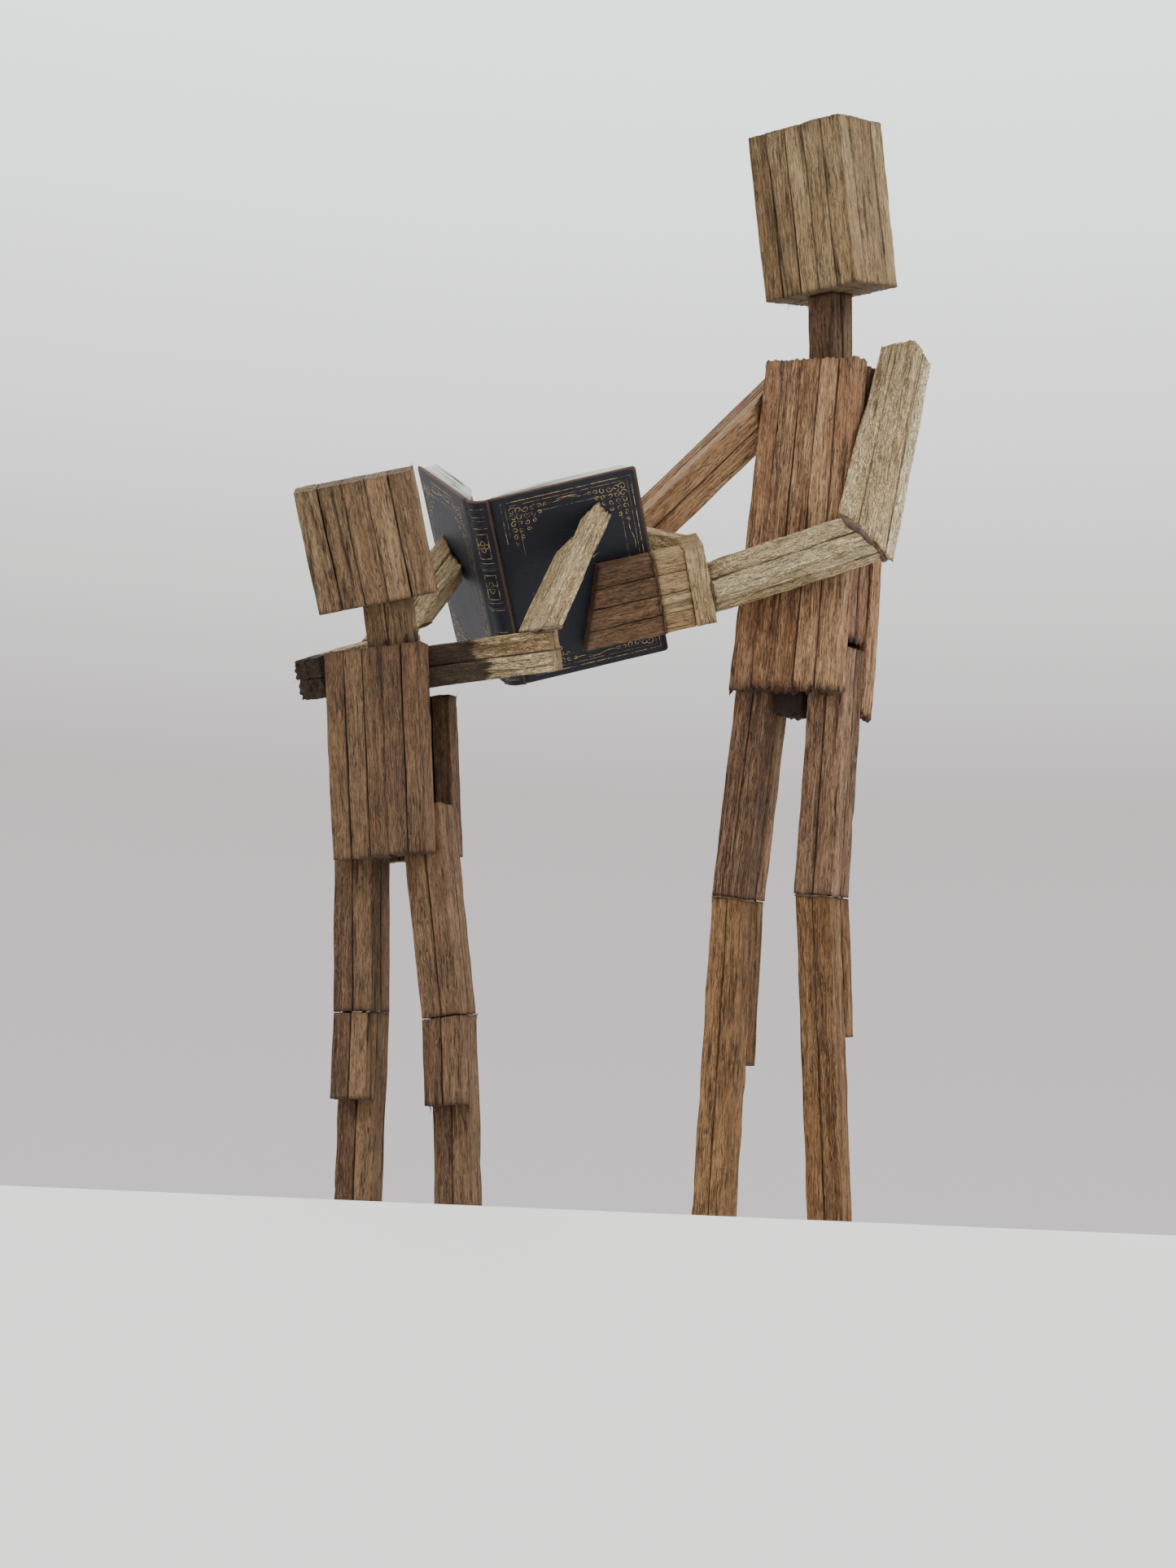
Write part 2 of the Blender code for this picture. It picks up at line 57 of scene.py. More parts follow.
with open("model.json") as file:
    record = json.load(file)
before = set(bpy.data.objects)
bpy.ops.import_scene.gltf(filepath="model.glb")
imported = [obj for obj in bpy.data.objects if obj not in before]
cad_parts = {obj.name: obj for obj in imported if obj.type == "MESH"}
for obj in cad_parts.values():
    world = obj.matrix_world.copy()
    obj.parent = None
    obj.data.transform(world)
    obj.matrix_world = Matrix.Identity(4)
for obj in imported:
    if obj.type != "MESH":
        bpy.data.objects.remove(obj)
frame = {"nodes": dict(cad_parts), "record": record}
CAD_BOX = [list(corner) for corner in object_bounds()]
RECORD = frame["record"]
BODY_OF = {node: body for body, nodes in RECORD["behaviour"]["bodies"].items() for node in nodes}
MM = 0.001
SIDE_POINTS = 12        # points along one side of a splint's section
UP_HINT = np.array([0.3, 0.2, 1.0])
ATTRIBUTES = ("tint", "seam", "char", "end")


def tone(red, green, blue):
    """Linear colour of an eight-bit display colour."""
    return tuple(((c / 255 + 0.055) / 1.055) ** 2.4 for c in (red, green, blue))


# ---------------------------------------------------------------- surfaces

class Ripples:
    """Smooth noise: the mean of sine waves whose directions and phases are seeded."""

    def __init__(self, rng, scale, count=9):
        self.turns = rng.normal(size=(count, 3)) * np.array(scale)
        self.phase = rng.uniform(0, 2 * math.pi, count)

    def __call__(self, points):
        return np.sin(points @ self.turns.T + self.phase).mean(-1) * 2.0


def seeded(name):
    return np.random.default_rng(zlib.crc32(name.encode()))


def smooth(value):
    """Rises from 0 to 1 with level ends, as 3 t^2 - 2 t^3."""
    value = np.clip(value, 0, 1)
    return value * value * (3 - 2 * value)


def unit(vectors):
    return vectors / np.maximum(np.linalg.norm(vectors, axis=-1, keepdims=True), 1e-12)


def loft(rings):
    """Closed surface through rings of points, with a pole in the middle of each end ring.

    rings has the shape (rows, points, 3). Each row joins the next with quads and the end
    rows close on the mean of their points with triangles.
    """
    rows, around = rings.shape[:2]
    points = np.concatenate([rings.reshape(-1, 3), [rings[0].mean(0), rings[-1].mean(0)]])
    row, col = np.meshgrid(np.arange(rows - 1), np.arange(around), indexing="ij")
    near = row * around + col
    side = row * around + (col + 1) % around
    quads = np.stack([near, side, side + around, near + around], -1).reshape(-1, 4)
    first, last = rows * around, rows * around + 1
    col = np.arange(around)
    after = (col + 1) % around
    low = np.stack([after, col, np.full(around, first)], -1)
    high = np.stack([col + (rows - 1) * around, after + (rows - 1) * around,
                     np.full(around, last)], -1)
    return points, quads, np.concatenate([low, high])


def shell(rings, **values):
    """A lofted surface with its attributes; an array per ring point gains its two poles."""
    points, quads, triangles = loft(rings)
    out = {"points": points, "quads": quads, "triangles": triangles}
    for key, value in values.items():
        value = np.asarray(value, float)
        if value.ndim < 3:
            value = np.broadcast_to(value, rings.shape[:2])
        flat = value.reshape((-1,) + value.shape[2:])
        ends = np.stack([value[0].mean(0), value[-1].mean(0)])
        out[key] = np.concatenate([flat, ends])
    return out


def tube(path, widths, across, flat=1.0, sides=6, **values):
    """A profile carried along a path: rings of the given half-widths round each point.

    across is a vector near the wide side of the section, and flat squeezes the other side.
    """
    run = unit(np.gradient(path, axis=0))
    wide = unit(across - run * np.sum(run * across, -1, keepdims=True))
    thin = np.cross(run, wide)
    angle = np.arange(sides) * 2 * math.pi / sides
    widths = np.asarray(widths)[:, None, None]
    rings = path[:, None] + widths * (np.cos(angle)[:, None] * wide[:, None]
                                      + flat * np.sin(angle)[:, None] * thin[:, None])
    return shell(rings, grain=rings + 40.0, **values)


# Ripples of the wood, in turns (radians per millimetre) across, across and along the grain.
FIBRE_TURNS = (8.0, 8.0, 0.7)
SWELL_TURNS = (1.6, 1.6, 0.16)
CRACK_TURNS = (2.6, 2.6, 0.10)
CRACK_PLACES = (0.8, 0.8, 0.12)
RAGGED_TURNS = (4.5, 4.5, 0.0)
SPIKE_TURNS = (9.0, 9.0, 0.0)
CRACK_WIDE = 0.07       # height of the crack ripple within which a crack opens
TORN_REACH = 1.6        # how far from an end the tearing moves the rings, mm
GROOVE_SHADE_WIDE = 0.14        # width of the painted shade beside a groove, mm
CHAR_AND_SHADE_FADE = 2.6         # length over which char and painted shade thin out, mm
CUT_FADE = 0.25         # darkened strip beside a cut end, mm
END_RINGS = np.array([0.25, 0.55, 0.8, 0.96])    # sizes of the rings that close an end


class Block:
    """The eight corners of a frame node, found from its own mesh, in millimetres."""

    def __init__(self, node, grain=None):
        mesh = frame["nodes"][node].data
        count = len(mesh.vertices)
        points = np.empty(count * 3, np.float32)
        mesh.vertices.foreach_get("co", points)
        points = points.reshape(-1, 3).astype(float) / MM
        mesh.calc_loop_triangles()
        index = np.empty(len(mesh.loop_triangles) * 3, np.int32)
        mesh.loop_triangles.foreach_get("vertices", index)
        a, b, c = points[index.reshape(-1, 3)].transpose(1, 0, 2)
        cross = np.cross(b - a, c - a)
        self.axes = self.find_axes(points, cross, grain)
        self.corner = self.find_corners(points)
        edges = (self.corner[1] - self.corner[0], self.corner[:, 1] - self.corner[:, 0],
                 self.corner[:, :, 1] - self.corner[:, :, 0])
        self.size = [float(np.linalg.norm(edge, axis=-1).mean()) for edge in edges]

    @staticmethod
    def find_axes(points, cross, grain):
        """The widest faces give two axes, and the grain runs along the longest or hinted one."""
        area = np.linalg.norm(cross, axis=1)
        normal = cross / np.maximum(area, 1e-9)[:, None]

        def strongest(allowed):
            together = (np.abs(normal @ normal.T) > 0.995) @ area
            return normal[int(np.argmax(np.where(allowed, together, -1)))]
        first = strongest(area > 0)
        second = strongest(np.abs(normal @ first) < 0.2)
        second = unit(second - first * (second @ first))
        axes = np.array([first, second, np.cross(first, second)])
        if grain is None:
            along = int(np.argmax(np.ptp(points @ axes.T, axis=0)))
        else:
            along = int(np.argmax(np.abs(axes @ np.asarray(grain, float))))
        run = axes[along]
        if run @ UP_HINT < 0:
            run = -run
        others = [axes[i] for i in range(3) if i != along]
        others.sort(key=lambda axis: -np.ptp(points @ axis))
        wide = others[0] if others[0] @ np.array([1.0, -0.1, 0.05]) > 0 else -others[0]
        return np.array([wide, np.cross(run, wide), run])

    def find_corners(self, points):
        """For each mix of signs, the vertex that lies farthest that way along all three axes."""
        local = points @ self.axes.T
        middle = (local.max(0) + local.min(0)) / 2
        share = (local - middle) / (np.ptp(local, axis=0) / 2)
        signs = np.stack(np.meshgrid([-1, 1], [-1, 1], [-1, 1], indexing="ij"), -1)
        return points[np.argmax(signs @ share.T, axis=-1)]

    def at(self, a, b, c):
        """The point at shares a, b and c of the block's width, depth and length."""
        a, b, c = (np.asarray(v, float)[..., None] for v in np.broadcast_arrays(a, b, c))
        corner = self.corner
        low = (corner[0, 0, 0] * (1 - a) + corner[1, 0, 0] * a) * (1 - b)
        low = low + (corner[0, 1, 0] * (1 - a) + corner[1, 1, 0] * a) * b
        high = (corner[0, 0, 1] * (1 - a) + corner[1, 0, 1] * a) * (1 - b)
        high = high + (corner[0, 1, 1] * (1 - a) + corner[1, 1, 1] * a) * b
        return low * (1 - c) + high * c


def rounded_square(wide, deep, radius):
    """Points and outward normals round a rectangle with round corners, counter-clockwise."""
    run = np.linspace(-1, 1, SIDE_POINTS + 1)[:-1]
    run = np.sign(run) * np.abs(run) ** 0.85
    one = np.ones(SIDE_POINTS)
    x = np.concatenate([run, one, -run, -one]) * wide / 2
    y = np.concatenate([-one, run, one, -run]) * deep / 2
    past_x = np.maximum(np.abs(x) - (wide / 2 - radius), 0)
    past_y = np.maximum(np.abs(y) - (deep / 2 - radius), 0)
    both = (past_x > 0) & (past_y > 0)
    length = np.hypot(past_x, past_y)
    pull = np.where(both, radius / np.maximum(length, 1e-9), 1)
    x = np.where(both, np.sign(x) * (wide / 2 - radius + past_x * pull), x)
    y = np.where(both, np.sign(y) * (deep / 2 - radius + past_y * pull), y)
    normal = np.stack([np.sign(x) * past_x, np.sign(y) * past_y], -1)
    return x, y, unit(normal)


def torn_shift(px, py, along, length, start, rng, torn):
    """How far points move along the grain near the two ends, by ripples of the section."""
    flat = np.stack([px, py, np.zeros_like(px)], -1) + start
    ragged = Ripples(rng, RAGGED_TURNS, 7)(flat)
    spikes = Ripples(rng, SPIKE_TURNS, 7)(flat) ** 2
    trim = rng.uniform(0, 1, 2)
    at_low, at_high = (smooth(1 - way * length / TORN_REACH)[:, None] for way in (along, 1 - along))
    tear = 0.6 * ragged + 0.15 - 0.5 * spikes
    return at_low * torn[0] * (tear + 0.6 * trim[0]) - at_high * torn[1] * (tear + 0.6 * trim[1])


def seam_shade(sides, gap, place, rng):
    """Painted shade: unevenly dark strips in the grooves where a neighbour touches; each side says if a
    neighbour touches it and how far off it is.
    """
    shade = np.zeros(place.shape[:2])
    strength = 0.6 + 0.6 * Ripples(rng, (0.3, 0.3, 0.3))(place)
    for touches, distance in sides:
        if touches:
            shade = np.maximum(shade, strength * smooth(1 - (distance - gap / 2) / GROOVE_SHADE_WIDE))
    return shade


def char_shade(along, length, place, rng, zones):
    """Strength of the char and of the painted shade: each zone starts at an end and fades at a wavering
    distance.
    """
    shade = np.zeros(place.shape[:2])
    for end, span, depth in zones:
        distance = (along if end == 0 else 1 - along)[:, None] * length
        edge = span * (1 + 0.25 * Ripples(rng, (0.9, 0.9, 0.3))(place))
        shade = np.maximum(shade, depth * smooth((edge - distance) / CHAR_AND_SHADE_FADE + 0.5))
    return shade


def splint(block, cell, counts, rng, look, settings):
    """One square splint of a block: rounded rings carried along it, with torn ends.

    Along the sides each point moves out or in by fibre ripples that are long in the
    grain and short across it, and by narrow cracks where a slower ripple crosses zero.
    """
    (i, j), (across, through) = cell, counts
    length = block.size[2]
    wide, deep = block.size[0] / across, block.size[1] / through
    gap = settings.groove * rng.uniform(0.5, 1.3)
    x, y, normal = rounded_square(wide - gap, deep - gap, settings.edge_round * rng.uniform(0.8, 1.5))
    rows = max(4, int(length / look["step"]))
    along = np.concatenate([np.zeros(4), np.linspace(0, 1, rows), np.ones(4)])
    scale = np.concatenate([END_RINGS, np.ones(rows), END_RINGS[::-1]])
    px = x[None] * scale[:, None] + rng.normal(0, settings.wobble, 1)
    py = y[None] * scale[:, None] + rng.normal(0, settings.wobble, 1)
    pz = np.broadcast_to(along[:, None] * length, px.shape)
    start = rng.uniform(0, 60, 3)
    place = np.stack([px, py, pz], -1) + start
    relief = settings.fibre * look["relief"]
    fibres = Ripples(rng, FIBRE_TURNS)(place) * relief
    swell = Ripples(rng, SWELL_TURNS)(place) * relief * 1.2
    crack_line = Ripples(rng, CRACK_TURNS)(place)
    crack = np.exp(-(crack_line / CRACK_WIDE) ** 2) * smooth(Ripples(rng, CRACK_PLACES)(place) + 0.4)
    side = (scale[:, None] > 0.9) * 1.0
    height = (fibres + swell - crack * settings.crack) * side
    px = px + normal[None, :, 0] * height
    py = py + normal[None, :, 1] * height
    torn = [settings.torn * share for share in look["torn"]]
    c = along[:, None] + torn_shift(px, py, along, length, start, rng, torn) / length
    rings = block.at((i + 0.5 + px / wide) / across, (j + 0.5 + py / deep) / through, c)
    sides = ((i > 0, wide / 2 + px), (i < across - 1, wide / 2 - px),
             (j > 0, deep / 2 + py), (j < through - 1, deep / 2 - py))
    # Painted shade in the grooves where a neighbouring splint touches, and in the cracks cut into the sides.
    seam = np.maximum(seam_shade(sides, gap, place, rng), 0.8 * crack)
    char = char_shade(along, length, place, rng, look["char"])
    tint = 0.3 * rng.uniform(0, 1) if i == look["stained"] else rng.uniform(0.1, 1)
    cut = np.maximum(1 - side, np.exp(-np.minimum(along, 1 - along)[:, None] * length / CUT_FADE))
    return shell(rings, grain=place, tint=tint, seam=seam, char=char, end=cut)


HAIR_THICK = 0.055       # half-width of a stray fibre at its root, mm
HAIR_LOWEST = 0.1        # stray fibres stay this far above the floor, mm


def hairs(block, rng, count, look):
    """Thin fibres that spring from the long edges and the ends and bend away."""
    found = []
    for _ in range(count):
        end = rng.random() < 0.6
        share = rng.choice([0.0, 1.0]) if end else rng.uniform(0.05, 0.95)
        a, b = (rng.choice([0.0, 1.0]), rng.uniform(0, 1)) if rng.random() < 0.5 else (
            rng.uniform(0, 1), rng.choice([0.0, 1.0]))
        root = block.at(a, b, abs(share - 0.02))
        away = unit(block.at(a, b, share) - block.at(0.5, 0.5, share))
        run = block.axes[2] * (1 if share > 0.5 else -1)
        reach = rng.uniform(0.4, 1.1 if end else 1.6)
        t = np.linspace(0, 1, 7)[:, None]
        lift = rng.uniform(0.1, 0.45)
        bend = rng.normal(0, 0.15, 3)
        path = root + run * t * reach * 0.9 + away * t * t * reach * lift + bend * t * t * reach
        path[:, 2] = np.maximum(path[:, 2], HAIR_LOWEST)
        width = HAIR_THICK * rng.uniform(0.5, 1.1) * (1 - 0.85 * t[:, 0])
        # Stray fibres take a little of the painted groove shade all over.
        found.append(tube(path, width, np.array([0.4, 0.7, 0.2]), sides=4, tint=rng.uniform(0, 1),
                          seam=0.15, char=look["char"][0][2] if look["char"] and end else 0.0, end=0.0))
    return found


def make_piece(name, shells, node, material, replaces=False):
    """Join shells into one mesh with its attributes and hang it on the body of a frame node."""
    start, points, quads, triangles = 0, [], [], []
    for part in shells:
        points.append(part["points"])
        quads.append(part["quads"] + start)
        triangles.append(part["triangles"] + start)
        start += len(part["points"])
    points, quads, triangles = (np.concatenate(v) for v in (points, quads, triangles))
    mesh = bpy.data.meshes.new(name)
    mesh.vertices.add(len(points))
    mesh.vertices.foreach_set("co", (points * MM).astype(np.float32).ravel())
    mesh.loops.add(quads.size + triangles.size)
    corners = np.concatenate([quads.ravel(), triangles.ravel()]).astype(np.int32)
    mesh.loops.foreach_set("vertex_index", corners)
    mesh.polygons.add(len(quads) + len(triangles))
    starts = np.concatenate([np.arange(len(quads)) * 4, quads.size + np.arange(len(triangles)) * 3])
    mesh.polygons.foreach_set("loop_start", starts.astype(np.int32))
    mesh.polygons.foreach_set("use_smooth", np.ones(len(starts), bool))
    mesh.update(calc_edges=True)
    for key in ATTRIBUTES:
        if key in shells[0]:
            values = np.concatenate([part[key] for part in shells]).astype(np.float32)
            mesh.attributes.new(key, "FLOAT", "POINT").data.foreach_set("value", values)
    grain = np.concatenate([part["grain"] for part in shells]).astype(np.float32)
    mesh.attributes.new("grain", "FLOAT_VECTOR", "POINT").data.foreach_set("vector", grain.ravel())
    mesh.materials.append(material)
    piece = bpy.data.objects.new(name, mesh)
    bpy.context.scene.collection.objects.link(piece)
    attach(piece, BODY_OF[node])
    if replaces:
        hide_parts(node)


# ---------------------------------------------------------------- shader maths

class Socket:
    """A shader output with Python arithmetic; each operation adds a Math node."""

    def __init__(self, graph, socket):
        self.graph = graph
        self.socket = socket

    def maths(self, operation, first, second=0.0, clamp=False):
        return self.graph.node("ShaderNodeMath", {"operation": operation, "use_clamp": clamp},
                               {0: first, 1: second})

    def __add__(self, other):
        return self.maths("ADD", self, other)

    def __sub__(self, other):
        return self.maths("SUBTRACT", self, other)

    def __rsub__(self, other):
        return self.maths("SUBTRACT", other, self)

    def __mul__(self, other):
        return self.maths("MULTIPLY", self, other)

    def clamped(self):
        return self.maths("ADD", self, 0.0, clamp=True)

    def size(self):
        return self.maths("ABSOLUTE", self)

    def above(self, edge, soft):
        """0 below the edge and 1 above it, over a soft width."""
        return self.maths("MULTIPLY", self - (edge - soft / 2), 1 / soft, clamp=True)

    def near(self, value, width):
        """1 where this is at the value, falling to 0 a width away on both sides."""
        return self.maths("SUBTRACT", 1.0, (self - value).size() * (1 / width), clamp=True)

    __radd__ = __add__
    __rmul__ = __mul__


class Graph:
    """The node tree of one new material, with a Principled shader."""

    def __init__(self, name):
        self.material = bpy.data.materials.new(name)
        self.material.use_nodes = True
        self.tree = self.material.node_tree
        self.shader = self.tree.nodes["Principled BSDF"]

    def node(self, kind, settings=None, inputs=None, output=0):
        """Add a node, apply its settings, then fill its sockets with values or links."""
        made = self.tree.nodes.new(kind)
        for key, value in (settings or {}).items():
            setattr(made, key, value)
        for key, value in (inputs or {}).items():
            self.fill(made.inputs[key], value)
        return Socket(self, made.outputs[output])

    def fill(self, socket, value):
        if isinstance(value, Socket):
            self.tree.links.new(value.socket, socket)
        elif isinstance(value, tuple) and len(value) == 3 and socket.type == "RGBA":
            socket.default_value = (*value, 1.0)
        else:
            socket.default_value = value

    def attribute(self, name, vector=False):
        return self.node("ShaderNodeAttribute", {"attribute_name": name}, output=1 if vector else 2)

    def stretch(self, vector, scale, offset=(0.0, 0.0, 0.0)):
        return self.node("ShaderNodeVectorMath", {"operation": "MULTIPLY_ADD"},
                         {0: vector, 1: scale, 2: offset})

    def noise(self, vector, detail=3.0, rough=0.55, distortion=0.0, output=0):
        return self.node("ShaderNodeTexNoise", {},
                         {"Vector": vector, "Scale": 1.0, "Detail": detail, "Roughness": rough,
                          "Distortion": distortion}, output)

    def mix(self, factor, first, second):
        """Blend two colours; sockets 6 and 7 are the colour inputs of a Mix node."""
        return self.node("ShaderNodeMix", {"data_type": "RGBA"}, {0: factor, 6: first, 7: second}, output=2)

    def bump(self, height, distance, strength=1.0):
        return self.node("ShaderNodeBump", {},
                         {"Strength": strength, "Distance": distance, "Height": height})

    def finish(self, **inputs):
        for key, value in inputs.items():
            self.fill(self.shader.inputs[key.replace("_", " ")], value)
        return self.material


def wood(name, light, dark, curl=0.0, stain=0.35, contrast=1.0):
    """Split, unsanded wood: long streaks, fibres and dark cracks along the grain, with painted shade
    in the grooves between splints and, where a char zone lies on a part in shadow, painted shade there too.

    curl adds the short wavy marks of pale wood, and stain the browner patches.
    """
    graph = Graph(name)
    grain = graph.attribute("grain", vector=True)
    tint, seam, char, end = (graph.attribute(key) for key in ATTRIBUTES)
    wander = graph.noise(graph.stretch(grain, (0.5, 0.5, 0.22)), 2.0, output=1)
    bent = graph.node("ShaderNodeVectorMath", {"operation": "MULTIPLY_ADD"},
                      {0: wander, 1: (0.7, 0.7, 0.0), 2: grain})
    streaks = graph.noise(graph.stretch(bent, (2.4, 2.4, 0.07)), 5.0, 0.65)
    fibres = graph.noise(graph.stretch(bent, (8.0, 8.0, 0.42)), 4.0, 0.7)
    fine = graph.noise(graph.stretch(bent, (21.0, 21.0, 1.7)), 2.0, 0.6)
    patches = graph.noise(graph.stretch(grain, (0.35, 0.35, 0.09), (7.0, 3.0, 1.0)), 3.0)
    lines = graph.noise(graph.stretch(bent, (3.1, 3.1, 0.055), (2.0, 9.0, 4.0)), 2.0).near(0.5, 0.022)
    cracks = lines * graph.noise(graph.stretch(grain, (0.6, 0.6, 0.2)), 1.0).above(0.5, 0.12)
    wavy = graph.noise(graph.stretch(bent, (5.2, 5.2, 1.5)), 3.0, 0.6, 1.2).near(0.5, 0.055)
    pores = graph.noise(graph.stretch(bent, (9.0, 9.0, 0.9)), 1.0).above(0.63, 0.05)
    shade = 0.5 + (streaks - 0.5) * (1.6 * contrast) + (fibres - 0.5) * (2.0 * contrast)
    shade = (shade + (fine - 0.5) * 1.4 + (tint - 0.5) * 0.55).clamped()
    thread = graph.noise(graph.stretch(bent, (6.5, 6.5, 0.22), (5.0, 1.0, 8.0)), 2.0).near(0.5, 0.024)
    threads = thread * graph.noise(graph.stretch(grain, (0.9, 0.9, 0.35)), 1.0).above(0.47, 0.15)
    colour = graph.mix(shade, dark, light)
    warm = tuple(c * w for c, w in zip(dark, (1.9, 1.4, 0.95)))
    colour = graph.mix(patches.above(0.52, 0.25) * stain, colour, warm)
    ink = tuple(c * 0.22 for c in dark)
    marks = (cracks + threads * 0.6 + pores * 0.55 + wavy * curl).clamped()
    colour = graph.mix(marks * 0.8, colour, ink)
    colour = graph.mix((end * (0.25 + fibres * 0.5)).clamped(), colour, tuple(c * 0.8 for c in dark))
    # Painted shade in the grooves between splints and in their cracks, in the near-black ink colour.
    colour = graph.mix((seam * (0.55 + streaks * 0.7)).clamped(), colour, ink)
    # The char zones give scorched wood on the arms, and painted shade on the small torso's middle layer and
    # the hip bar; both are laid on in the same soot colour.
    ragged = ((streaks - 0.5) * 2.2 + (fibres - 0.5) * 1.8) * (char * (1.0 - char) * 3.0).clamped()
    soot_and_shade_edge = (char + ragged).above(0.40, 0.45)
    colour = graph.mix(soot_and_shade_edge * 0.93, colour, tone(44, 29, 22))
    height = streaks * 0.35 + fibres * 0.8 + fine * 0.35 - cracks * 0.7 - threads * 0.4
    height = height - wavy * (0.5 * curl) - pores * 0.3
    return graph.finish(Base_Color=colour, Roughness=(0.68 + fibres * 0.25 + soot_and_shade_edge * 0.05).clamped(),
                        Normal=graph.bump(height, 0.22 * MM, 1.0), Specular_IOR_Level=0.3)


def peg_wood():
    """Smooth round peg, streaked along its length, on the object's own coordinates."""
    graph = Graph("peg_wood")
    place = graph.node("ShaderNodeTexCoord", output=3)
    streaks = graph.noise(graph.stretch(place, (2500.0, 2500.0, 250.0)), 4.0)
    colour = graph.mix(streaks.above(0.5, 0.4), tone(120, 90, 60), tone(196, 164, 122))
    return graph.finish(Base_Color=colour, Roughness=0.55 + streaks * 0.2,
                        Normal=graph.bump(streaks, 0.03 * MM))


def cloth_board(name, colour_deep, colour_worn):
    """Dark pebbled book cloth, rubbed brown along its edges and joints."""
    graph = Graph(name)
    grain = graph.attribute("grain", vector=True)
    worn_edge = graph.attribute("end")
    pebble = graph.noise(graph.stretch(grain, (5.5, 5.5, 5.5)), 3.0, 0.6)
    fine = graph.noise(graph.stretch(grain, (16.0, 16.0, 16.0)), 2.0)
    cloud = graph.noise(graph.stretch(grain, (0.32, 0.32, 0.32)), 4.0, 0.65)
    scratch = graph.noise(graph.stretch(grain, (0.5, 7.0, 0.35)), 3.0).above(0.68, 0.08)
    rub = (worn_edge * (pebble * 0.8 + cloud * 0.9)).above(0.55, 0.3)
    colour = graph.mix(cloud.above(0.5, 0.5), colour_deep, tuple(c * 1.5 + 0.002 for c in colour_deep))
    colour = graph.mix(pebble.above(0.62, 0.2) * 0.25, colour, tone(42, 44, 56))
    colour = graph.mix(scratch * 0.2, colour, tone(84, 78, 76))
    colour = graph.mix(rub * 0.6, colour, colour_worn)
    height = pebble * 0.7 + fine * 0.3
    return graph.finish(Base_Color=colour, Roughness=(0.48 + cloud * 0.22 + rub * 0.2).clamped(),
                        Coat_Weight=(0.10 - rub * 0.1).clamped(), Coat_Roughness=0.3,
                        Specular_IOR_Level=0.2,
                        Normal=graph.bump(height, 0.05 * MM, 0.8))


def gilding(name, gold, ground):
    """Worn gold leaf: metal where it holds and the dark cloth where it has rubbed off."""
    graph = Graph(name)
    grain = graph.attribute("grain", vector=True)
    wear = graph.noise(graph.stretch(grain, (1.4, 1.4, 1.4)), 5.0, 0.7)
    speck = graph.noise(graph.stretch(grain, (9.0, 9.0, 9.0)), 2.0)
    leaf = (wear * 0.75 + speck * 0.35).above(0.54, 0.12)
    colour = graph.mix(leaf, ground, gold)
    return graph.finish(Base_Color=colour, Metallic=leaf * 0.5, Roughness=0.62 - leaf * 0.2,
                        Normal=graph.bump(speck, 0.02 * MM))


def paper(name, white, edge):
    """Sheets with a soft mottled face and slightly toned edges."""
    graph = Graph(name)
    grain = graph.attribute("grain", vector=True)
    rim = graph.attribute("end")
    fibres = graph.noise(graph.stretch(grain, (6.0, 6.0, 6.0)), 4.0)
    tone_cloud = graph.noise(graph.stretch(grain, (0.25, 0.25, 0.25)), 2.0)
    sheet_tint = graph.attribute("tint")
    colour = graph.mix((rim * 0.15 + tone_cloud * 0.15 + sheet_tint * 0.35).clamped(), white, edge)
    return graph.finish(Base_Color=colour, Roughness=0.82 + fibres * 0.1,
                        Normal=graph.bump(fibres, 0.015 * MM))


def old_glue(name):
    """Brown, half-glossy animal glue, darker where it is thick."""
    graph = Graph(name)
    grain = graph.attribute("grain", vector=True)
    cloud = graph.noise(graph.stretch(grain, (1.6, 1.6, 1.6)), 4.0, 0.6)
    colour = graph.mix(cloud.above(0.5, 0.35), tone(40, 24, 16), tone(88, 58, 36))
    return graph.finish(Base_Color=colour, Roughness=0.38 + cloud * 0.35,
                        Normal=graph.bump(cloud, 0.12 * MM))


# ---------------------------------------------------------------- settings

class WoodSettings(bpy.types.PropertyGroup):
    stick: bpy.props.FloatProperty(name="Splint", description="Side of one square splint, mm", default=2.1)
    groove: bpy.props.FloatProperty(name="Groove", description="Gap between neighbouring splints, mm",
                                    default=0.035)
    edge_round: bpy.props.FloatProperty(name="Edge round", description="Corner radius of a splint, mm",
                                        default=0.09)
    fibre: bpy.props.FloatProperty(name="Fibre", description="Height of the raised fibres, mm", default=0.055)
    crack: bpy.props.FloatProperty(name="Crack", description="Depth of the cracks, mm", default=0.16)
    torn: bpy.props.FloatProperty(name="Torn", description="Roughness of a torn end, mm", default=0.45)
    wobble: bpy.props.FloatProperty(name="Wobble", description="How far a splint sits off its place, mm",
                                    default=0.035)


class BookSettings(bpy.types.PropertyGroup):
    cover: bpy.props.FloatVectorProperty(name="Cover", description="Colour of the book cloth",
                                         subtype="COLOR", default=tone(17, 19, 28))
    worn: bpy.props.FloatVectorProperty(name="Worn", description="Colour of the rubbed edges",
                                        subtype="COLOR", default=tone(92, 68, 48))
    gold: bpy.props.FloatVectorProperty(name="Gold", description="Colour of the gilt lines",
                                        subtype="COLOR", default=tone(174, 146, 102))
    sheets: bpy.props.IntProperty(name="Sheets", description="Sheets in each page block", default=17)
    line: bpy.props.FloatProperty(name="Line", description="Width of a gilt frame line, mm", default=0.085)
    band: bpy.props.FloatProperty(name="Band", description="Height of a raised band on the spine, mm",
                                  default=0.22)


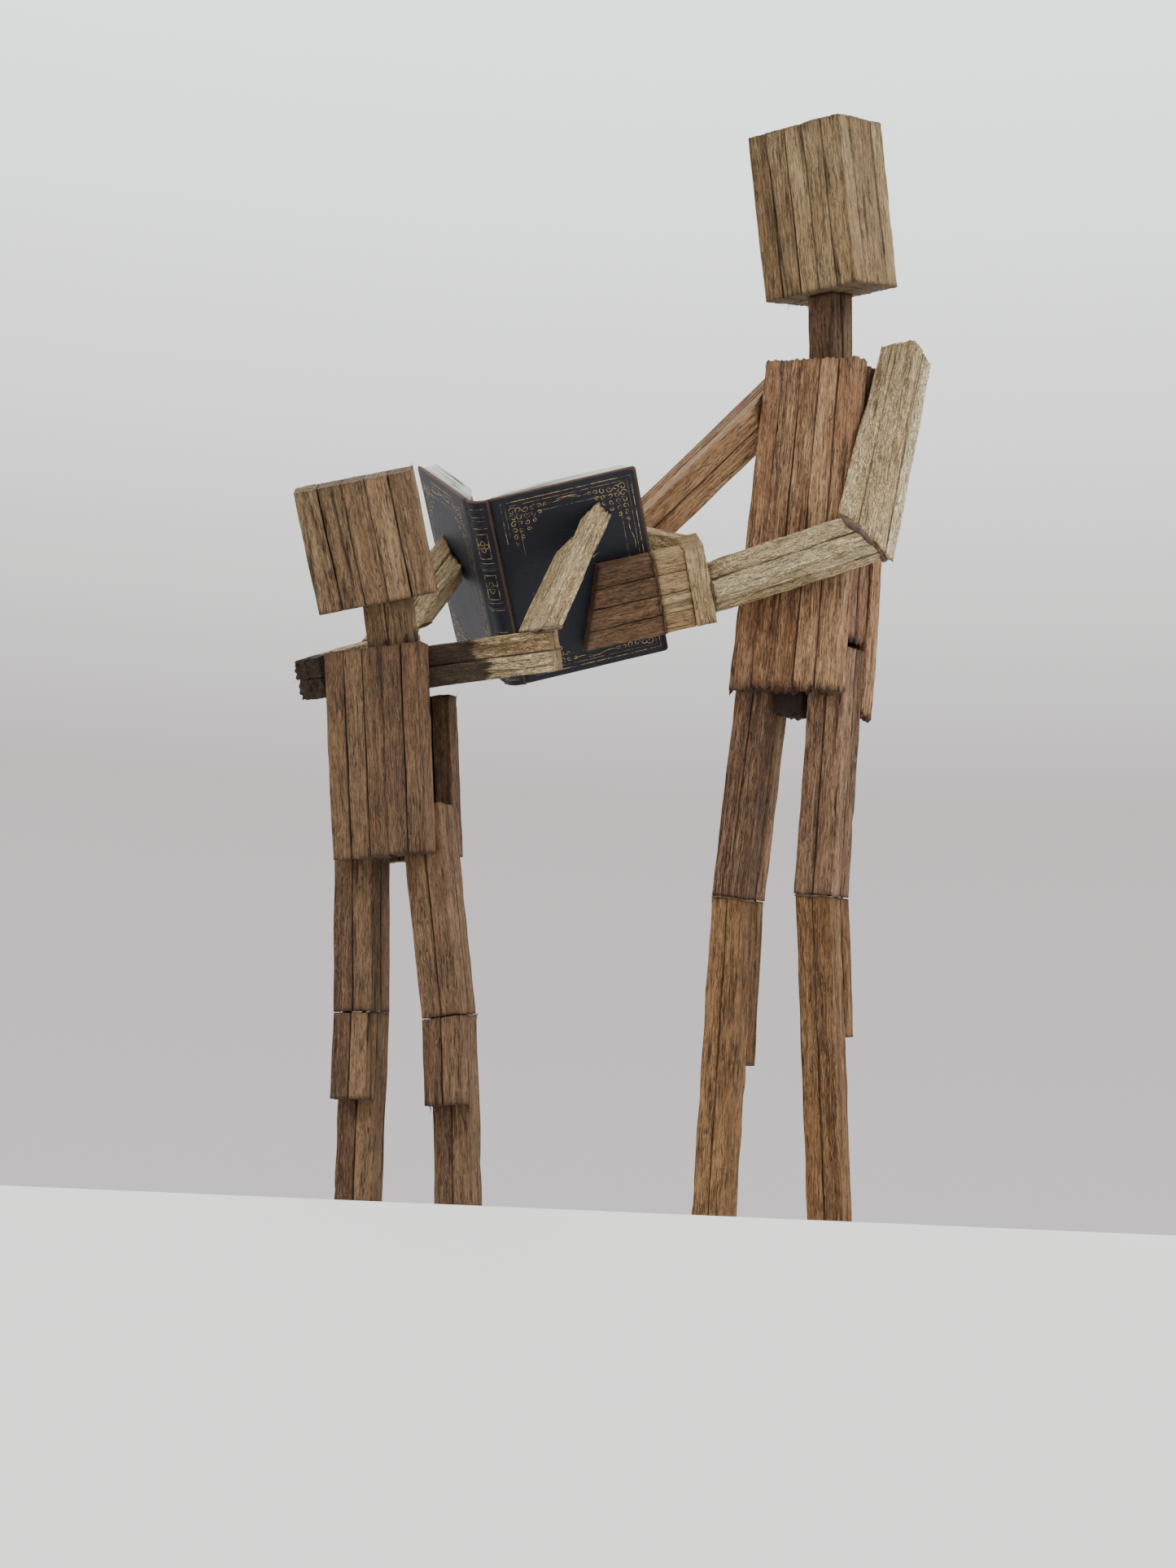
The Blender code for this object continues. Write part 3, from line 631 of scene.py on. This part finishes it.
class StageSettings(bpy.types.PropertyGroup):
    key: bpy.props.FloatProperty(name="Key light", description="Power of the main light", default=4.2,
                                 unit="POWER")
    fill: bpy.props.FloatProperty(name="Fill light", description="Power of the fill light", default=1.4,
                                  unit="POWER")
    world: bpy.props.FloatProperty(name="World", description="Strength of the even grey light", default=1.0)
    focal: bpy.props.FloatProperty(name="Focal length", description="Camera lens, for a frame 24 mm high",
                                   default=37.36, unit="CAMERA")


# ---------------------------------------------------------------- wood

# What a bar's finish is like: torn ends (low, high), char and painted shade as (end, length,
# strength), relief as a share of the fibre height, spacing of the rings in millimetres, stray
# fibres, and the column of splints that is stained dark.
PLAIN = {"torn": (0.12, 0.12), "char": (), "relief": 1.0, "step": 0.32, "hairs": 5, "stained": None}
LOOKS = {
    "large_torso_front": {"torn": (1.0, 0.5), "char": ((0, 0.8, 0.45),), "relief": 1.2, "hairs": 14},
    "large_torso_back": {"torn": (1.0, 0.5), "char": ((0, 0.8, 0.4),), "relief": 1.2, "hairs": 10},
    "large_torso_core": {"torn": (1.0, 0.3), "char": ((0, 0.8, 0.45),), "step": 0.5, "hairs": 4},
    "large_head_face": {"stained": 0, "relief": 1.1},
    "large_head_back": {"relief": 1.1},
    # Painted shade: this dark zone runs 20 mm, over the whole middle layer of the small torso, which is seen
    # in shadow in its recess.
    "small_torso_core": {"step": 0.6, "hairs": 0, "char": ((0, 20.0, 0.45),)},
    "small_torso_back": {"torn": (0.4, 0.3), "relief": 0.8, "hairs": 8},
    "small_neck": {"char": ((0, 5.4, 0.62),), "torn": (0.1, 0.0), "relief": 0.7, "hairs": 0},
    "small_head_back": {"torn": (0.0, 0.12)},
    "small_head_face": {"torn": (0.0, 0.12)},
    "large_neck": {"torn": (0.1, 0.0), "relief": 0.8, "hairs": 0},
    "large_left_leg_thigh": {"relief": 0.8, "hairs": 0},
    "large_right_leg_thigh": {"relief": 0.8, "hairs": 0},
    "small_head_core": {"step": 0.6},
    # Painted shade: the long dark zone on the hip bar stands for the shadow between the tall figure's legs.
    "large_hip_bar": {"char": ((0, 9.0, 0.7),), "torn": (0.8, 0.4), "relief": 0.7, "hairs": 0},
    "small_right_upper_arm": {"char": ((0, 5.6, 1.0),), "hairs": 6},
    "small_left_upper_arm": {"char": ((0, 2.4, 1.0),), "torn": (0.6, 0.3), "relief": 1.3},
    "large_left_upper_arm": {"torn": (0.3, 0.35), "relief": 1.2, "hairs": 10},
    "large_left_forearm": {"relief": 1.4, "torn": (0.3, 0.6)},
    "small_left_forearm_near": {"torn": (0.3, 1.1), "relief": 1.5},
    "small_left_forearm_far": {"torn": (0.3, 1.1), "relief": 1.5},
    "small_right_forearm_near": {"torn": (0.3, 0.5), "relief": 1.3},
    "small_right_forearm_far": {"torn": (0.3, 0.7), "relief": 1.3},
}
# Each wood: light colour, dark colour, curl, stain and contrast. Some are darker copies of another wood,
# which paint shade.
WOODS = {
    "head": ((186, 158, 118), (98, 76, 50), 0.20, 0.30, 0.9),
    "body": ((206, 166, 124), (98, 66, 46), 0.10, 0.40, 1.1),
    # A darker copy of the body wood: painted shade for the middle layer of the tall torso, whose sides are
    # seen in shadow.
    "side": ((158, 120, 88), (70, 48, 34), 0.10, 0.40, 1.1),
    "arm": ((255, 236, 194), (182, 148, 100), 1.0, 0.10, 0.9),
    # A darker copy of the arm wood: painted shade on the small figure's arms.
    "shaded_arm": ((248, 224, 178), (152, 118, 78), 0.9, 0.12, 0.9),
    "thigh": ((170, 132, 100), (66, 44, 32), 0.20, 0.35, 1.25),
    "shin": ((176, 134, 90), (78, 52, 30), 0.15, 0.35, 1.1),
    # A darker copy for the small figure's torso and legs and the tall figure's neck: painted shade, not a
    # grey wood.
    "grey": ((146, 114, 82), (70, 48, 34), 0.15, 0.30, 0.8),
    # A darker copy of the head wood: painted shade on the small figure's head and neck.
    "shaded_head": ((172, 142, 106), (88, 66, 46), 0.2, 0.25, 0.75),
    "hand": ((222, 192, 146), (126, 98, 64), 0.3, 0.25, 0.85),
    "finger": ((160, 126, 94), (80, 57, 41), 0.45, 0.25, 1.0),
    # Painted shade: very dark wood for the bar between the tall figure's hips, which sits in shadow between
    # the legs.
    "dark": ((100, 68, 60), (38, 22, 20), 0.10, 0.10, 0.9),
}


def wood_named(key):
    """The wood material of that name, made the first time that it is asked for."""
    name = f"{key}_wood_grain"
    if name in bpy.data.materials:
        return bpy.data.materials[name]
    light, dark, curl, stain, contrast = WOODS[key]
    return wood(name, tone(*light), tone(*dark), curl, stain, contrast)


def splints_across(size, stick):
    """How many splints make up a width: a part splint counts from two thirds up."""
    return max(1, int(size / stick + 0.35))


def make_bar(node, key, grain=None):
    """Rebuild one bar of the frame as its splints and stray fibres."""
    settings = bpy.context.scene.splint_wood
    block = Block(node, grain)
    look = {**PLAIN, **LOOKS.get(node, {})}
    rng = seeded(node)
    counts = tuple(splints_across(block.size[axis], settings.stick) for axis in (0, 1))
    shells = [splint(block, (i, j), counts, rng, look, settings)
              for i in range(counts[0]) for j in range(counts[1])]
    shells += hairs(block, rng, look["hairs"], look)
    make_piece(f"{node}_splints", shells, node, wood_named(key), replaces=True)


class FIGURES_OT_torsos(bpy.types.Operator):
    """Rebuild both torsos, layer by layer, and the bar between the tall one's hips"""
    bl_idname = "figures.torsos"
    bl_label = "Torsos"

    def execute(self, context):
        for part in ("front", "core", "back"):
            # The middle layer of the tall torso gets the darker side wood: painted shade.
            make_bar(f"large_torso_{part}", "side" if part == "core" else "body")
            # The small torso gets the darker wood named grey: painted shade.
            make_bar(f"small_torso_{part}", "grey")
        # The hip bar gets the very dark wood: painted shade between the legs.
        make_bar("large_hip_bar", "dark")
        return {"FINISHED"}


class FIGURES_OT_heads(bpy.types.Operator):
    """Rebuild both heads, layer by layer, and their necks"""
    bl_idname = "figures.heads"
    bl_label = "Heads and necks"

    def execute(self, context):
        # The small head gets a darker copy of the head wood: painted shade.
        for figure, key in (("large", "head"), ("small", "shaded_head")):
            for part in ("face", "core", "back"):
                make_bar(f"{figure}_head_{part}", key)
        # Both necks get the darker woods: painted shade under the heads.
        make_bar("large_neck", "grey")
        make_bar("small_neck", "shaded_head")
        return {"FINISHED"}


class FIGURES_OT_arms(bpy.types.Operator):
    """Rebuild the upper arms and forearms"""
    bl_idname = "figures.arms"
    bl_label = "Arms"

    def execute(self, context):
        make_bar("large_right_upper_arm", "body")
        make_bar("large_left_upper_arm", "arm")
        for side in ("left", "right"):
            make_bar(f"large_{side}_forearm", "arm")
            for part in ("upper_arm", "forearm_near", "forearm_far"):
                # The small figure's arms get a darker copy of the arm wood: painted shade.
                make_bar(f"small_{side}_{part}", "shaded_arm")
        return {"FINISHED"}


class FIGURES_OT_hands(bpy.types.Operator):
    """Rebuild the palms, the knuckle block, the fingers and the thumb"""
    bl_idname = "figures.hands"
    bl_label = "Hands"

    def execute(self, context):
        for finger in range(1, 5):
            make_bar(f"large_left_finger_{finger}", "finger")
        make_bar("large_left_thumb", "arm")
        outward = Block("large_left_finger_1").axes[2]
        make_bar("large_left_knuckles", "hand", outward)
        make_bar("large_left_palm", "hand")
        make_bar("large_right_palm", "hand")
        return {"FINISHED"}


class FIGURES_OT_legs(bpy.types.Operator):
    """Rebuild the thighs, shins and calf strips"""
    bl_idname = "figures.legs"
    bl_label = "Legs"

    def execute(self, context):
        # The small figure's legs get the darker wood named grey: painted shade.
        for figure, thigh, shin in (("large", "thigh", "shin"), ("small", "grey", "grey")):
            for side in ("left", "right"):
                for part, key in (("thigh", thigh), ("shin", shin), ("calf", shin)):
                    make_bar(f"{figure}_{side}_leg_{part}", key)
        return {"FINISHED"}


class FIGURES_OT_pegs(bpy.types.Operator):
    """Give the hidden pegs and hip pins their smooth round wood"""
    bl_idname = "figures.pegs"
    bl_label = "Pegs and pins"

    def execute(self, context):
        material = peg_wood()
        for node, part in frame["nodes"].items():
            if node.endswith(("_pin", "_peg")):
                part.data.materials.clear()
                part.data.materials.append(material)
        return {"FINISHED"}


# ---------------------------------------------------------------- book

class Board:
    """A flat block of the book with places given out from the joint, down and outwards."""

    def __init__(self, node, joint_side):
        block = Block(node, grain=(-0.2, -0.6, 0.77))
        corner = block.corner
        if (corner[1] - corner[0]).mean((0, 1)) @ joint_side < 0:
            corner = corner[::-1]
        self.origin = corner[0, :, 1].mean(0)
        self.out = unit((corner[1] - corner[0]).mean((0, 1)))
        self.down = unit((corner[:, :, 0] - corner[:, :, 1]).mean((0, 1)))
        self.face = unit(np.cross(self.out, self.down))
        if self.face @ np.array([0.2, -1.0, -0.3]) < 0:
            self.face = -self.face
        self.wide, self.high = block.size[0], block.size[2]
        self.thick = block.size[1]

    def at(self, out, down, proud):
        """A point out from the joint, down from the top, and proud of the middle plane."""
        out, down, proud = (np.asarray(v, float)[..., None] for v in np.broadcast_arrays(out, down, proud))
        return self.origin + self.out * out + self.down * down + self.face * proud


def slab(board, out, down, proud, corner_round, edge, rows, bend, tint=0.0):
    """A thin plate with round edges, made of rings that run round its width.

    The plate runs from out[0] to out[1] and down[0] to down[1]. Near its top and bottom
    the far edge draws in along a quarter circle of the corner radius. bend gives an offset
    outwards for each place (out, down).
    """
    across = np.linspace(0, 1, 26)
    half = (proud[1] - proud[0]) / 2
    middle = (proud[1] + proud[0]) / 2
    top = np.stack([across, np.ones_like(across)], -1)
    low = np.stack([across[::-1], -np.ones_like(across)], -1)
    ring = np.concatenate([top, low])
    share = np.concatenate([[0.0, 0.002, 0.006], np.linspace(0.012, 0.988, rows), [0.994, 0.998, 1.0]])
    length = down[1] - down[0]
    y = down[0] + share * length
    rise = np.minimum(share, 1 - share) * length
    lip = np.sqrt(np.clip(1 - (1 - np.minimum(rise / edge, 1)) ** 2, 0.04, 1))
    inside = corner_round ** 2 - np.maximum(corner_round - rise, 0) ** 2
    drawn = corner_round - np.sqrt(np.clip(inside, 0, None))
    end = out[1] - drawn
    x = out[0] + (end[:, None] - out[0]) * ring[None, :, 0]
    from_edge = np.minimum(x - out[0], end[:, None] - x)
    thin = np.sqrt(np.clip(1 - (1 - np.minimum(from_edge / edge, 1)) ** 2, 0.04, 1))
    z = middle + half * ring[None, :, 1] * np.minimum(lip[:, None], thin)
    yy = np.broadcast_to(y[:, None], x.shape)
    z = z + bend(x, yy)
    rings = board.at(x, yy, z)
    if np.cross(board.out, board.down) @ board.face > 0:
        rings = rings[:, ::-1]
    rim = np.exp(-np.minimum(from_edge, rise[:, None]) / 0.22)
    return shell(rings, grain=np.stack([x, yy, z], -1) + 20.0, end=rim, tint=tint)


def stroke(board, points, width, proud):
    """A gilt line: a flat profile carried along points (out, down) just over the cloth."""
    points = np.asarray(points, float)
    path = board.at(points[:, 0], points[:, 1], proud)
    ends = np.minimum(np.arange(len(path)), np.arange(len(path))[::-1])
    widths = width / 2 * np.minimum(1, 0.35 + ends * 0.35)
    run = unit(np.gradient(path, axis=0))
    return tube(path, widths, unit(np.cross(run, board.face)), flat=0.22)


def rectangle(low, high, steps=14):
    """Four straight runs round a box, as separate lists of points."""
    (x0, y0), (x1, y1) = low, high
    t = np.linspace(0, 1, steps)
    sides = (((x0, y0), (x1, y0)), ((x1, y0), (x1, y1)), ((x1, y1), (x0, y1)), ((x0, y1), (x0, y0)))
    return [np.stack([a[0] + (b[0] - a[0]) * t, a[1] + (b[1] - a[1]) * t], -1) for a, b in sides]


def around(centre, reach, angle):
    """Points (out, down) at a reach and an angle from a centre."""
    return np.stack([centre[0] + reach * np.cos(angle), centre[1] + reach * np.sin(angle)], -1)


def curl(centre, radius, turn, start, hand):
    """A scroll that winds in: its radius falls evenly while its angle grows."""
    t = np.linspace(0, 1, 22)
    return around(centre, radius * (1 - 0.82 * t), start + hand * turn * t)


def corner_scrolls(size):
    """Small scrolls that fill a right-angled corner, as lists of points from its tip.

    Curls stand on a triangular lattice, shrink away from the corner and turn by turns to
    either hand. A wavy tendril, x along the edge and y = 0.05 + 0.03 sin 9x, leaves each way.
    """
    lines = []
    for a in range(6):
        for b in range(6 - a):
            far = a + b
            centre = (size * (0.08 + 0.13 * a), size * (0.08 + 0.13 * b))
            radius = size * (0.085 - 0.008 * far)
            lines.append(curl(centre, radius, 7.0, 1.7 * a + 2.9 * b, 1 if far % 2 else -1))
    t = np.linspace(0.7, 1.35, 24)
    tendril = np.stack([t, 0.05 + 0.03 * np.sin(9 * t)], -1) * size
    return [*lines, tendril, tendril[:, ::-1]]


def rosette(centre, radius):
    """Four petals about a ring: a rose curve whose radius swells four times."""
    t = np.linspace(0, 2 * math.pi, 49)
    petals = around(centre, radius * (0.45 + 0.55 * np.abs(np.cos(2 * t))), t)
    return [petals, around(centre, radius * 0.28, np.linspace(0, 2 * math.pi, 17))]


FRAME_LINES = ((0.75, 1.0), (1.15, 0.5), (2.3, 0.45))    # inset from the edge in mm, share of the width
SCROLLS = 5.4            # reach of a corner's scrolls, mm
SCROLL_INSET = 1.3
JOINT_INSET = 1.7        # the same at the side of the joint


def cover_gilding(board, settings):
    """Three frame lines one inside the other, and scrolls in the corners."""
    proud = board.thick / 2 + 0.015
    shells = []
    for inset, share in FRAME_LINES:
        for side in rectangle((inset + 0.35, inset), (board.wide - inset, board.high - inset)):
            shells.append(stroke(board, side, settings.line * share, proud))
    for right in (False, True):
        for bottom in (False, True):
            for line in corner_scrolls(SCROLLS):
                x = board.wide - SCROLL_INSET - line[:, 0] if right else JOINT_INSET + line[:, 0]
                y = board.high - SCROLL_INSET - line[:, 1] if bottom else SCROLL_INSET + line[:, 1]
                shells.append(stroke(board, np.stack([x, y], -1), settings.line * 0.85, proud))
    return shells


def spine_bend(board, settings):
    """A round back that bulges in the middle, with raised bands across it."""
    def bend(x, y):
        across = np.clip(x / board.wide, 0, 1)
        bulge = 0.32 * np.sin(math.pi * across)
        bands = sum(np.exp(-((y / board.high - place) / 0.011) ** 2) for place in SPINE_BANDS)
        return bulge + settings.band * bands * np.sin(math.pi * across) ** 0.5
    return bend


SPINE_BANDS = (0.06, 0.12, 0.345, 0.56, 0.72, 0.78, 0.945)
SPINE_PANELS = ((0.17, 0.30), (0.39, 0.52), (0.83, 0.92))


def spine_gilding(board, settings):
    """Lines beside each band, and framed panels with a rosette between them."""
    bend = spine_bend(board, settings)
    shells = []

    def lay(points, width):
        points = np.asarray(points)
        lift = board.thick / 2 + 0.02 + bend(points[:, 0], points[:, 1])
        shells.append(stroke(board, points, width, lift))
    t = np.linspace(0.12, 0.88, 12) * board.wide
    for place in SPINE_BANDS:
        for side in (-0.02, 0.02):
            lay(np.stack([t, np.full(12, (place + side) * board.high)], -1), 0.07)
    for low, high in SPINE_PANELS:
        box = (0.2 * board.wide, low * board.high), (0.8 * board.wide, high * board.high)
        for side in rectangle(*box):
            lay(side, 0.09)
        for line in rosette((board.wide / 2, (low + high) / 2 * board.high), 0.62):
            lay(line, 0.085)
    return shells


def boards():
    """The two covers and the spine, each with its own directions."""
    right = Board("book_right_cover", np.array([1.0, 0.0, 0.0]))
    left = Board("book_left_cover", np.array([-0.4, 0.77, 0.49]))
    spine = Board("book_spine", np.array([-1.0, 0.0, 0.0]))
    return {"right_cover": right, "left_cover": left, "spine": spine}


class FIGURES_OT_covers(bpy.types.Operator):
    """Make the two boards and the ribbed spine of the book, with their gilt lines"""
    bl_idname = "figures.covers"
    bl_label = "Covers and spine"

    def execute(self, context):
        settings = context.scene.splint_book
        cloth = cloth_board("book_cloth", tuple(settings.cover), tuple(settings.worn))
        gold = gilding("book_gilding", tuple(settings.gold), tuple(settings.cover))
        for part, board in boards().items():
            node = f"book_{part}"
            ripple = Ripples(seeded(node), (0.35, 0.35, 0.35))

            def warp(x, y):
                return 0.06 * ripple(np.stack([x, y, 0 * x], -1))
            bend = spine_bend(board, settings) if part == "spine" else warp
            half = board.thick / 2
            reach = (-0.2, board.wide + 0.2) if part == "spine" else (-0.15, board.wide)
            plate = slab(board, reach, (0.0, board.high), (-half, half),
                         0.05 if part == "spine" else 0.35, 0.14, 190 if part == "spine" else 70, bend)
            make_piece(f"{node}_cloth", [plate], node, cloth, replaces=True)
            if part == "spine":
                lines = spine_gilding(board, settings)
            else:
                lines = cover_gilding(board, settings)
            make_piece(f"{node}_gilding", lines, node, gold)
        return {"FINISHED"}


class FIGURES_OT_pages(bpy.types.Operator):
    """Make the sheets of both page blocks, which fan out from the spine"""
    bl_idname = "figures.pages"
    bl_label = "Pages"

    def execute(self, context):
        settings = context.scene.splint_book
        sheet = paper("book_paper", tone(252, 251, 248), tone(196, 190, 180))
        for side, board in boards().items():
            if side == "spine":
                continue
            node = f"book_{side.split('_')[0]}_pages"
            block = Block(node)
            depth = min(block.size)
            rng = seeded(node)
            shells = []
            for index in range(settings.sheets):
                share = (index + 0.5) / settings.sheets
                base = -(board.thick / 2 + 0.06)

                def fan(x, y, share=share, phase=rng.uniform(0, 6)):
                    spread = 0.35 + 0.65 * smooth((x - 0.3) / 2.6)
                    swell = 0.10 * np.sin(x * 0.35 + phase) * np.sin(y * 0.22 + phase)
                    return base - depth * share * spread + swell * 0.4
                inset, top = rng.uniform(0.45, 0.75), rng.uniform(0.05, 0.2)
                shells.append(slab(board, (0.4, board.wide - inset - 0.2 * share),
                                   (top, board.high - 0.5 + rng.uniform(-0.1, 0.1)),
                                   (-0.025, 0.025), 0.1, 0.03, 24, fan, rng.uniform(0, 1)))
            make_piece(f"{node}_sheets", shells, node, sheet, replaces=True)
        return {"FINISHED"}


# ---------------------------------------------------------------- glue

GLUE_LUMP = 0.6         # how much the bead's radius swells and shrinks
RING = (((0, 0), (1, 0)), ((1, 0), (1, 1)), ((1, 1), (0, 1)), ((0, 1), (0, 0)))


def glue_bead(block, end, radius, rng):
    """A lumpy bead along the four sides of a block's end; a side is a pair of corners."""
    shells = []
    for start, stop in RING:
        t = np.linspace(0, 1, 22)
        a = start[0] + (stop[0] - start[0]) * t
        b = start[1] + (stop[1] - start[1]) * t
        path = block.at(a, b, np.full(22, float(end)))
        path = path + 0.12 * Ripples(rng, (2.0, 2.0, 2.0))(path)[:, None]
        width = radius * (1 + GLUE_LUMP * Ripples(rng, (2.4, 2.4, 2.4))(path))
        width = width * np.sqrt(np.clip(1 - (2 * t - 1) ** 6, 0.05, 1))
        shells.append(tube(path, width, np.array([0.3, 0.2, 0.9]), flat=0.8, sides=9))
    return shells


GLUED = (("large_left_forearm", 1, 0.34), ("large_right_forearm", 1, 0.2), ("large_left_forearm", 0, 0.16),
         ("small_right_forearm_near", 0, 0.16), ("small_left_forearm_near", 0, 0.14),
         ("large_left_leg_shin", 1, 0.11), ("large_right_leg_shin", 1, 0.11),
         ("small_left_leg_shin", 1, 0.11), ("small_right_leg_shin", 1, 0.11))


class FIGURES_OT_glue(bpy.types.Operator):
    """Lay the brown glue at elbows, wrist, knuckles and knees"""
    bl_idname = "figures.glue"
    bl_label = "Glue"

    def execute(self, context):
        material = old_glue("old_glue")
        rng = seeded("glue")
        for node, end, radius in GLUED:
            beads = glue_bead(Block(node), end, radius, rng)
            make_piece(f"{node}_glue_{end}", beads, node, material)
        knuckles = Block("large_left_knuckles").corner.mean((0, 1, 2))
        for finger in range(1, 5):
            node = f"large_left_finger_{finger}"
            block = Block(node)
            near, far = (np.linalg.norm(block.at(0.5, 0.5, share) - knuckles) for share in (0.0, 1.0))
            end = int(far < near)
            make_piece(f"{node}_glue", glue_bead(block, end, 0.11, rng), node, material)
        return {"FINISHED"}


# ---------------------------------------------------------------- stage

# Lengths in millimetres, angles in degrees.
CAMERA_AT = (-1.883, -243.007, -7.4)
CAMERA_PITCH = 11.8
CAMERA_ROLL = 2.45
FLOOR_EDGE_BEFORE = 1.2  # the level floor ends this far in front of the figures
FLOOR_SLOPE = 24.0
FLOOR_ROUND = 14.0       # radius of the floor's front edge
FLOOR_REACH = 1500.0     # how far the floor runs back and to each side


def aim(item, at, look_at):
    """Stand an object at a point and turn its -Z axis to another."""
    at, look_at = (np.array(v, float) for v in (at, look_at))
    back = unit(at - look_at)
    right = unit(np.cross((0.0, 0.0, 1.0), back))
    up = np.cross(back, right)
    rows = [[right[i], up[i], back[i], at[i]] for i in range(3)]
    item.matrix_world = Matrix([*rows, [0, 0, 0, 1]])


def floor_sheet():
    """A sheet swept along X: level, then over a round edge and down a slope at the front."""
    edge = CAD_BOX[0][1] / MM - FLOOR_EDGE_BEFORE
    turn = np.linspace(0, math.radians(FLOOR_SLOPE), 12)
    y = np.concatenate([np.linspace(FLOOR_REACH, edge, 20), edge - FLOOR_ROUND * np.sin(turn[1:])])
    z = np.concatenate([np.zeros(20), FLOOR_ROUND * (np.cos(turn[1:]) - 1)])
    down = np.linspace(20, 400, 10)
    y = np.append(y, y[-1] - down * math.cos(turn[-1]))
    z = np.append(z, z[-1] - down * math.sin(turn[-1]))
    x = np.linspace(-FLOOR_REACH, FLOOR_REACH, 9)
    grid = np.stack(np.broadcast_arrays(x[None, :], y[:, None], z[:, None]), -1) * MM
    rows, columns = grid.shape[:2]
    row, col = np.meshgrid(np.arange(rows - 1), np.arange(columns - 1), indexing="ij")
    first = row * columns + col
    faces = np.stack([first, first + columns, first + columns + 1, first + 1], -1).reshape(-1, 4)
    mesh = bpy.data.meshes.new("floor")
    mesh.from_pydata(grid.reshape(-1, 3).tolist(), [], faces.tolist())
    mesh.polygons.foreach_set("use_smooth", np.ones(len(faces), bool))
    return bpy.data.objects.new("floor", mesh)


def floor_paint():
    graph = Graph("floor_paint")
    place = graph.node("ShaderNodeTexCoord", output=3)
    cloud = graph.noise(graph.stretch(place, (14.0, 14.0, 14.0)), 4.0)
    colour = graph.mix(cloud, tone(206, 203, 202), tone(216, 213, 212))
    return graph.finish(Base_Color=colour, Roughness=0.85)


class FIGURES_OT_stage(bpy.types.Operator):
    """Set the pale floor, the soft lights and the camera"""
    bl_idname = "figures.stage"
    bl_label = "Stage"

    def execute(self, context):
        settings = context.scene.splint_stage
        floor = floor_sheet()
        floor.data.materials.append(floor_paint())
        context.scene.collection.objects.link(floor)
        for name, power, size, at in (("key_light", settings.key, 0.5, (0.50, -0.22, 0.52)),
                                      ("fill_light", settings.fill, 0.6, (-0.55, -0.40, 0.25)),
                                      ("back_light", settings.fill, 0.5, (-0.15, 0.55, 0.45))):
            data = bpy.data.lights.new(name, "AREA")
            data.energy = power
            data.size = size
            light = bpy.data.objects.new(name, data)
            context.scene.collection.objects.link(light)
            aim(light, at, (0.0, 0.0, 0.06))
        world = bpy.data.worlds.new("grey_room")
        world.use_nodes = True
        self.shade_room(world.node_tree, settings)
        context.scene.world = world
        self.place_camera(context, settings)
        return {"FINISHED"}

    def shade_room(self, tree, settings):
        """Even grey room that is lighter overhead than at eye level."""
        place = tree.nodes.new("ShaderNodeTexCoord")
        parts = tree.nodes.new("ShaderNodeSeparateXYZ")
        ramp = tree.nodes.new("ShaderNodeValToRGB")
        stops = ((0.0, (0.88, 0.82, 0.83)), (0.2, (0.79, 0.73, 0.73)), (0.48, (2.0, 2.15, 2.08)))
        ramp.color_ramp.elements.new(0.2)
        for element, (position, colour) in zip(ramp.color_ramp.elements, stops):
            element.position = position
            element.color = (*colour, 1.0)
        background = tree.nodes["Background"]
        background.inputs["Strength"].default_value = settings.world
        tree.links.new(place.outputs["Generated"], parts.inputs[0])
        tree.links.new(parts.outputs["Z"], ramp.inputs[0])
        tree.links.new(ramp.outputs["Color"], background.inputs["Color"])

    def place_camera(self, context, settings):
        data = bpy.data.cameras.new("camera")
        data.sensor_fit = "VERTICAL"
        data.sensor_height = 24.0
        data.lens = settings.focal
        data.clip_start = 0.01
        camera = bpy.data.objects.new("camera", data)
        context.scene.collection.objects.link(camera)
        pitch, roll = math.radians(CAMERA_PITCH), math.radians(CAMERA_ROLL)
        forward = np.array([0.0, math.cos(pitch), math.sin(pitch)])
        level_up = np.array([0.0, -math.sin(pitch), math.cos(pitch)])
        level_right = np.array([1.0, 0.0, 0.0])
        right = level_right * math.cos(roll) + level_up * math.sin(roll)
        up = level_up * math.cos(roll) - level_right * math.sin(roll)
        place = np.array(CAMERA_AT) * MM
        rows = [[right[i], up[i], -forward[i], place[i]] for i in range(3)]
        camera.matrix_world = Matrix([*rows, [0, 0, 0, 1]])
        context.scene.camera = camera


# ---------------------------------------------------------------- add-on

OPERATORS = (FIGURES_OT_stage, FIGURES_OT_torsos, FIGURES_OT_heads, FIGURES_OT_arms, FIGURES_OT_hands,
             FIGURES_OT_legs, FIGURES_OT_pegs, FIGURES_OT_covers, FIGURES_OT_pages, FIGURES_OT_glue)


class FIGURES_PT_panel(bpy.types.Panel):
    """Lists the steps that build the figures and their book"""
    bl_idname = "FIGURES_PT_panel"
    bl_label = "Splint Figures"
    bl_space_type = "VIEW_3D"
    bl_region_type = "UI"
    bl_category = "Figures"

    def draw(self, context):
        for operator in OPERATORS:
            self.layout.operator(operator.bl_idname)
        for group in (context.scene.splint_wood, context.scene.splint_book, context.scene.splint_stage):
            for name in group.__annotations__:
                self.layout.prop(group, name)


CLASSES = (WoodSettings, BookSettings, StageSettings, *OPERATORS, FIGURES_PT_panel)
GROUPS = {"splint_wood": WoodSettings, "splint_book": BookSettings, "splint_stage": StageSettings}


def register():
    for item in CLASSES:
        bpy.utils.register_class(item)
    for name, group in GROUPS.items():
        setattr(bpy.types.Scene, name, bpy.props.PointerProperty(type=group))


def unregister():
    for name in GROUPS:
        delattr(bpy.types.Scene, name)
    for item in reversed(CLASSES):
        bpy.utils.unregister_class(item)


def main():
    register()
    for operator in OPERATORS:
        family, name = operator.bl_idname.split(".")
        getattr(getattr(bpy.ops, family), name)()


if __name__ == "__main__":
    main()
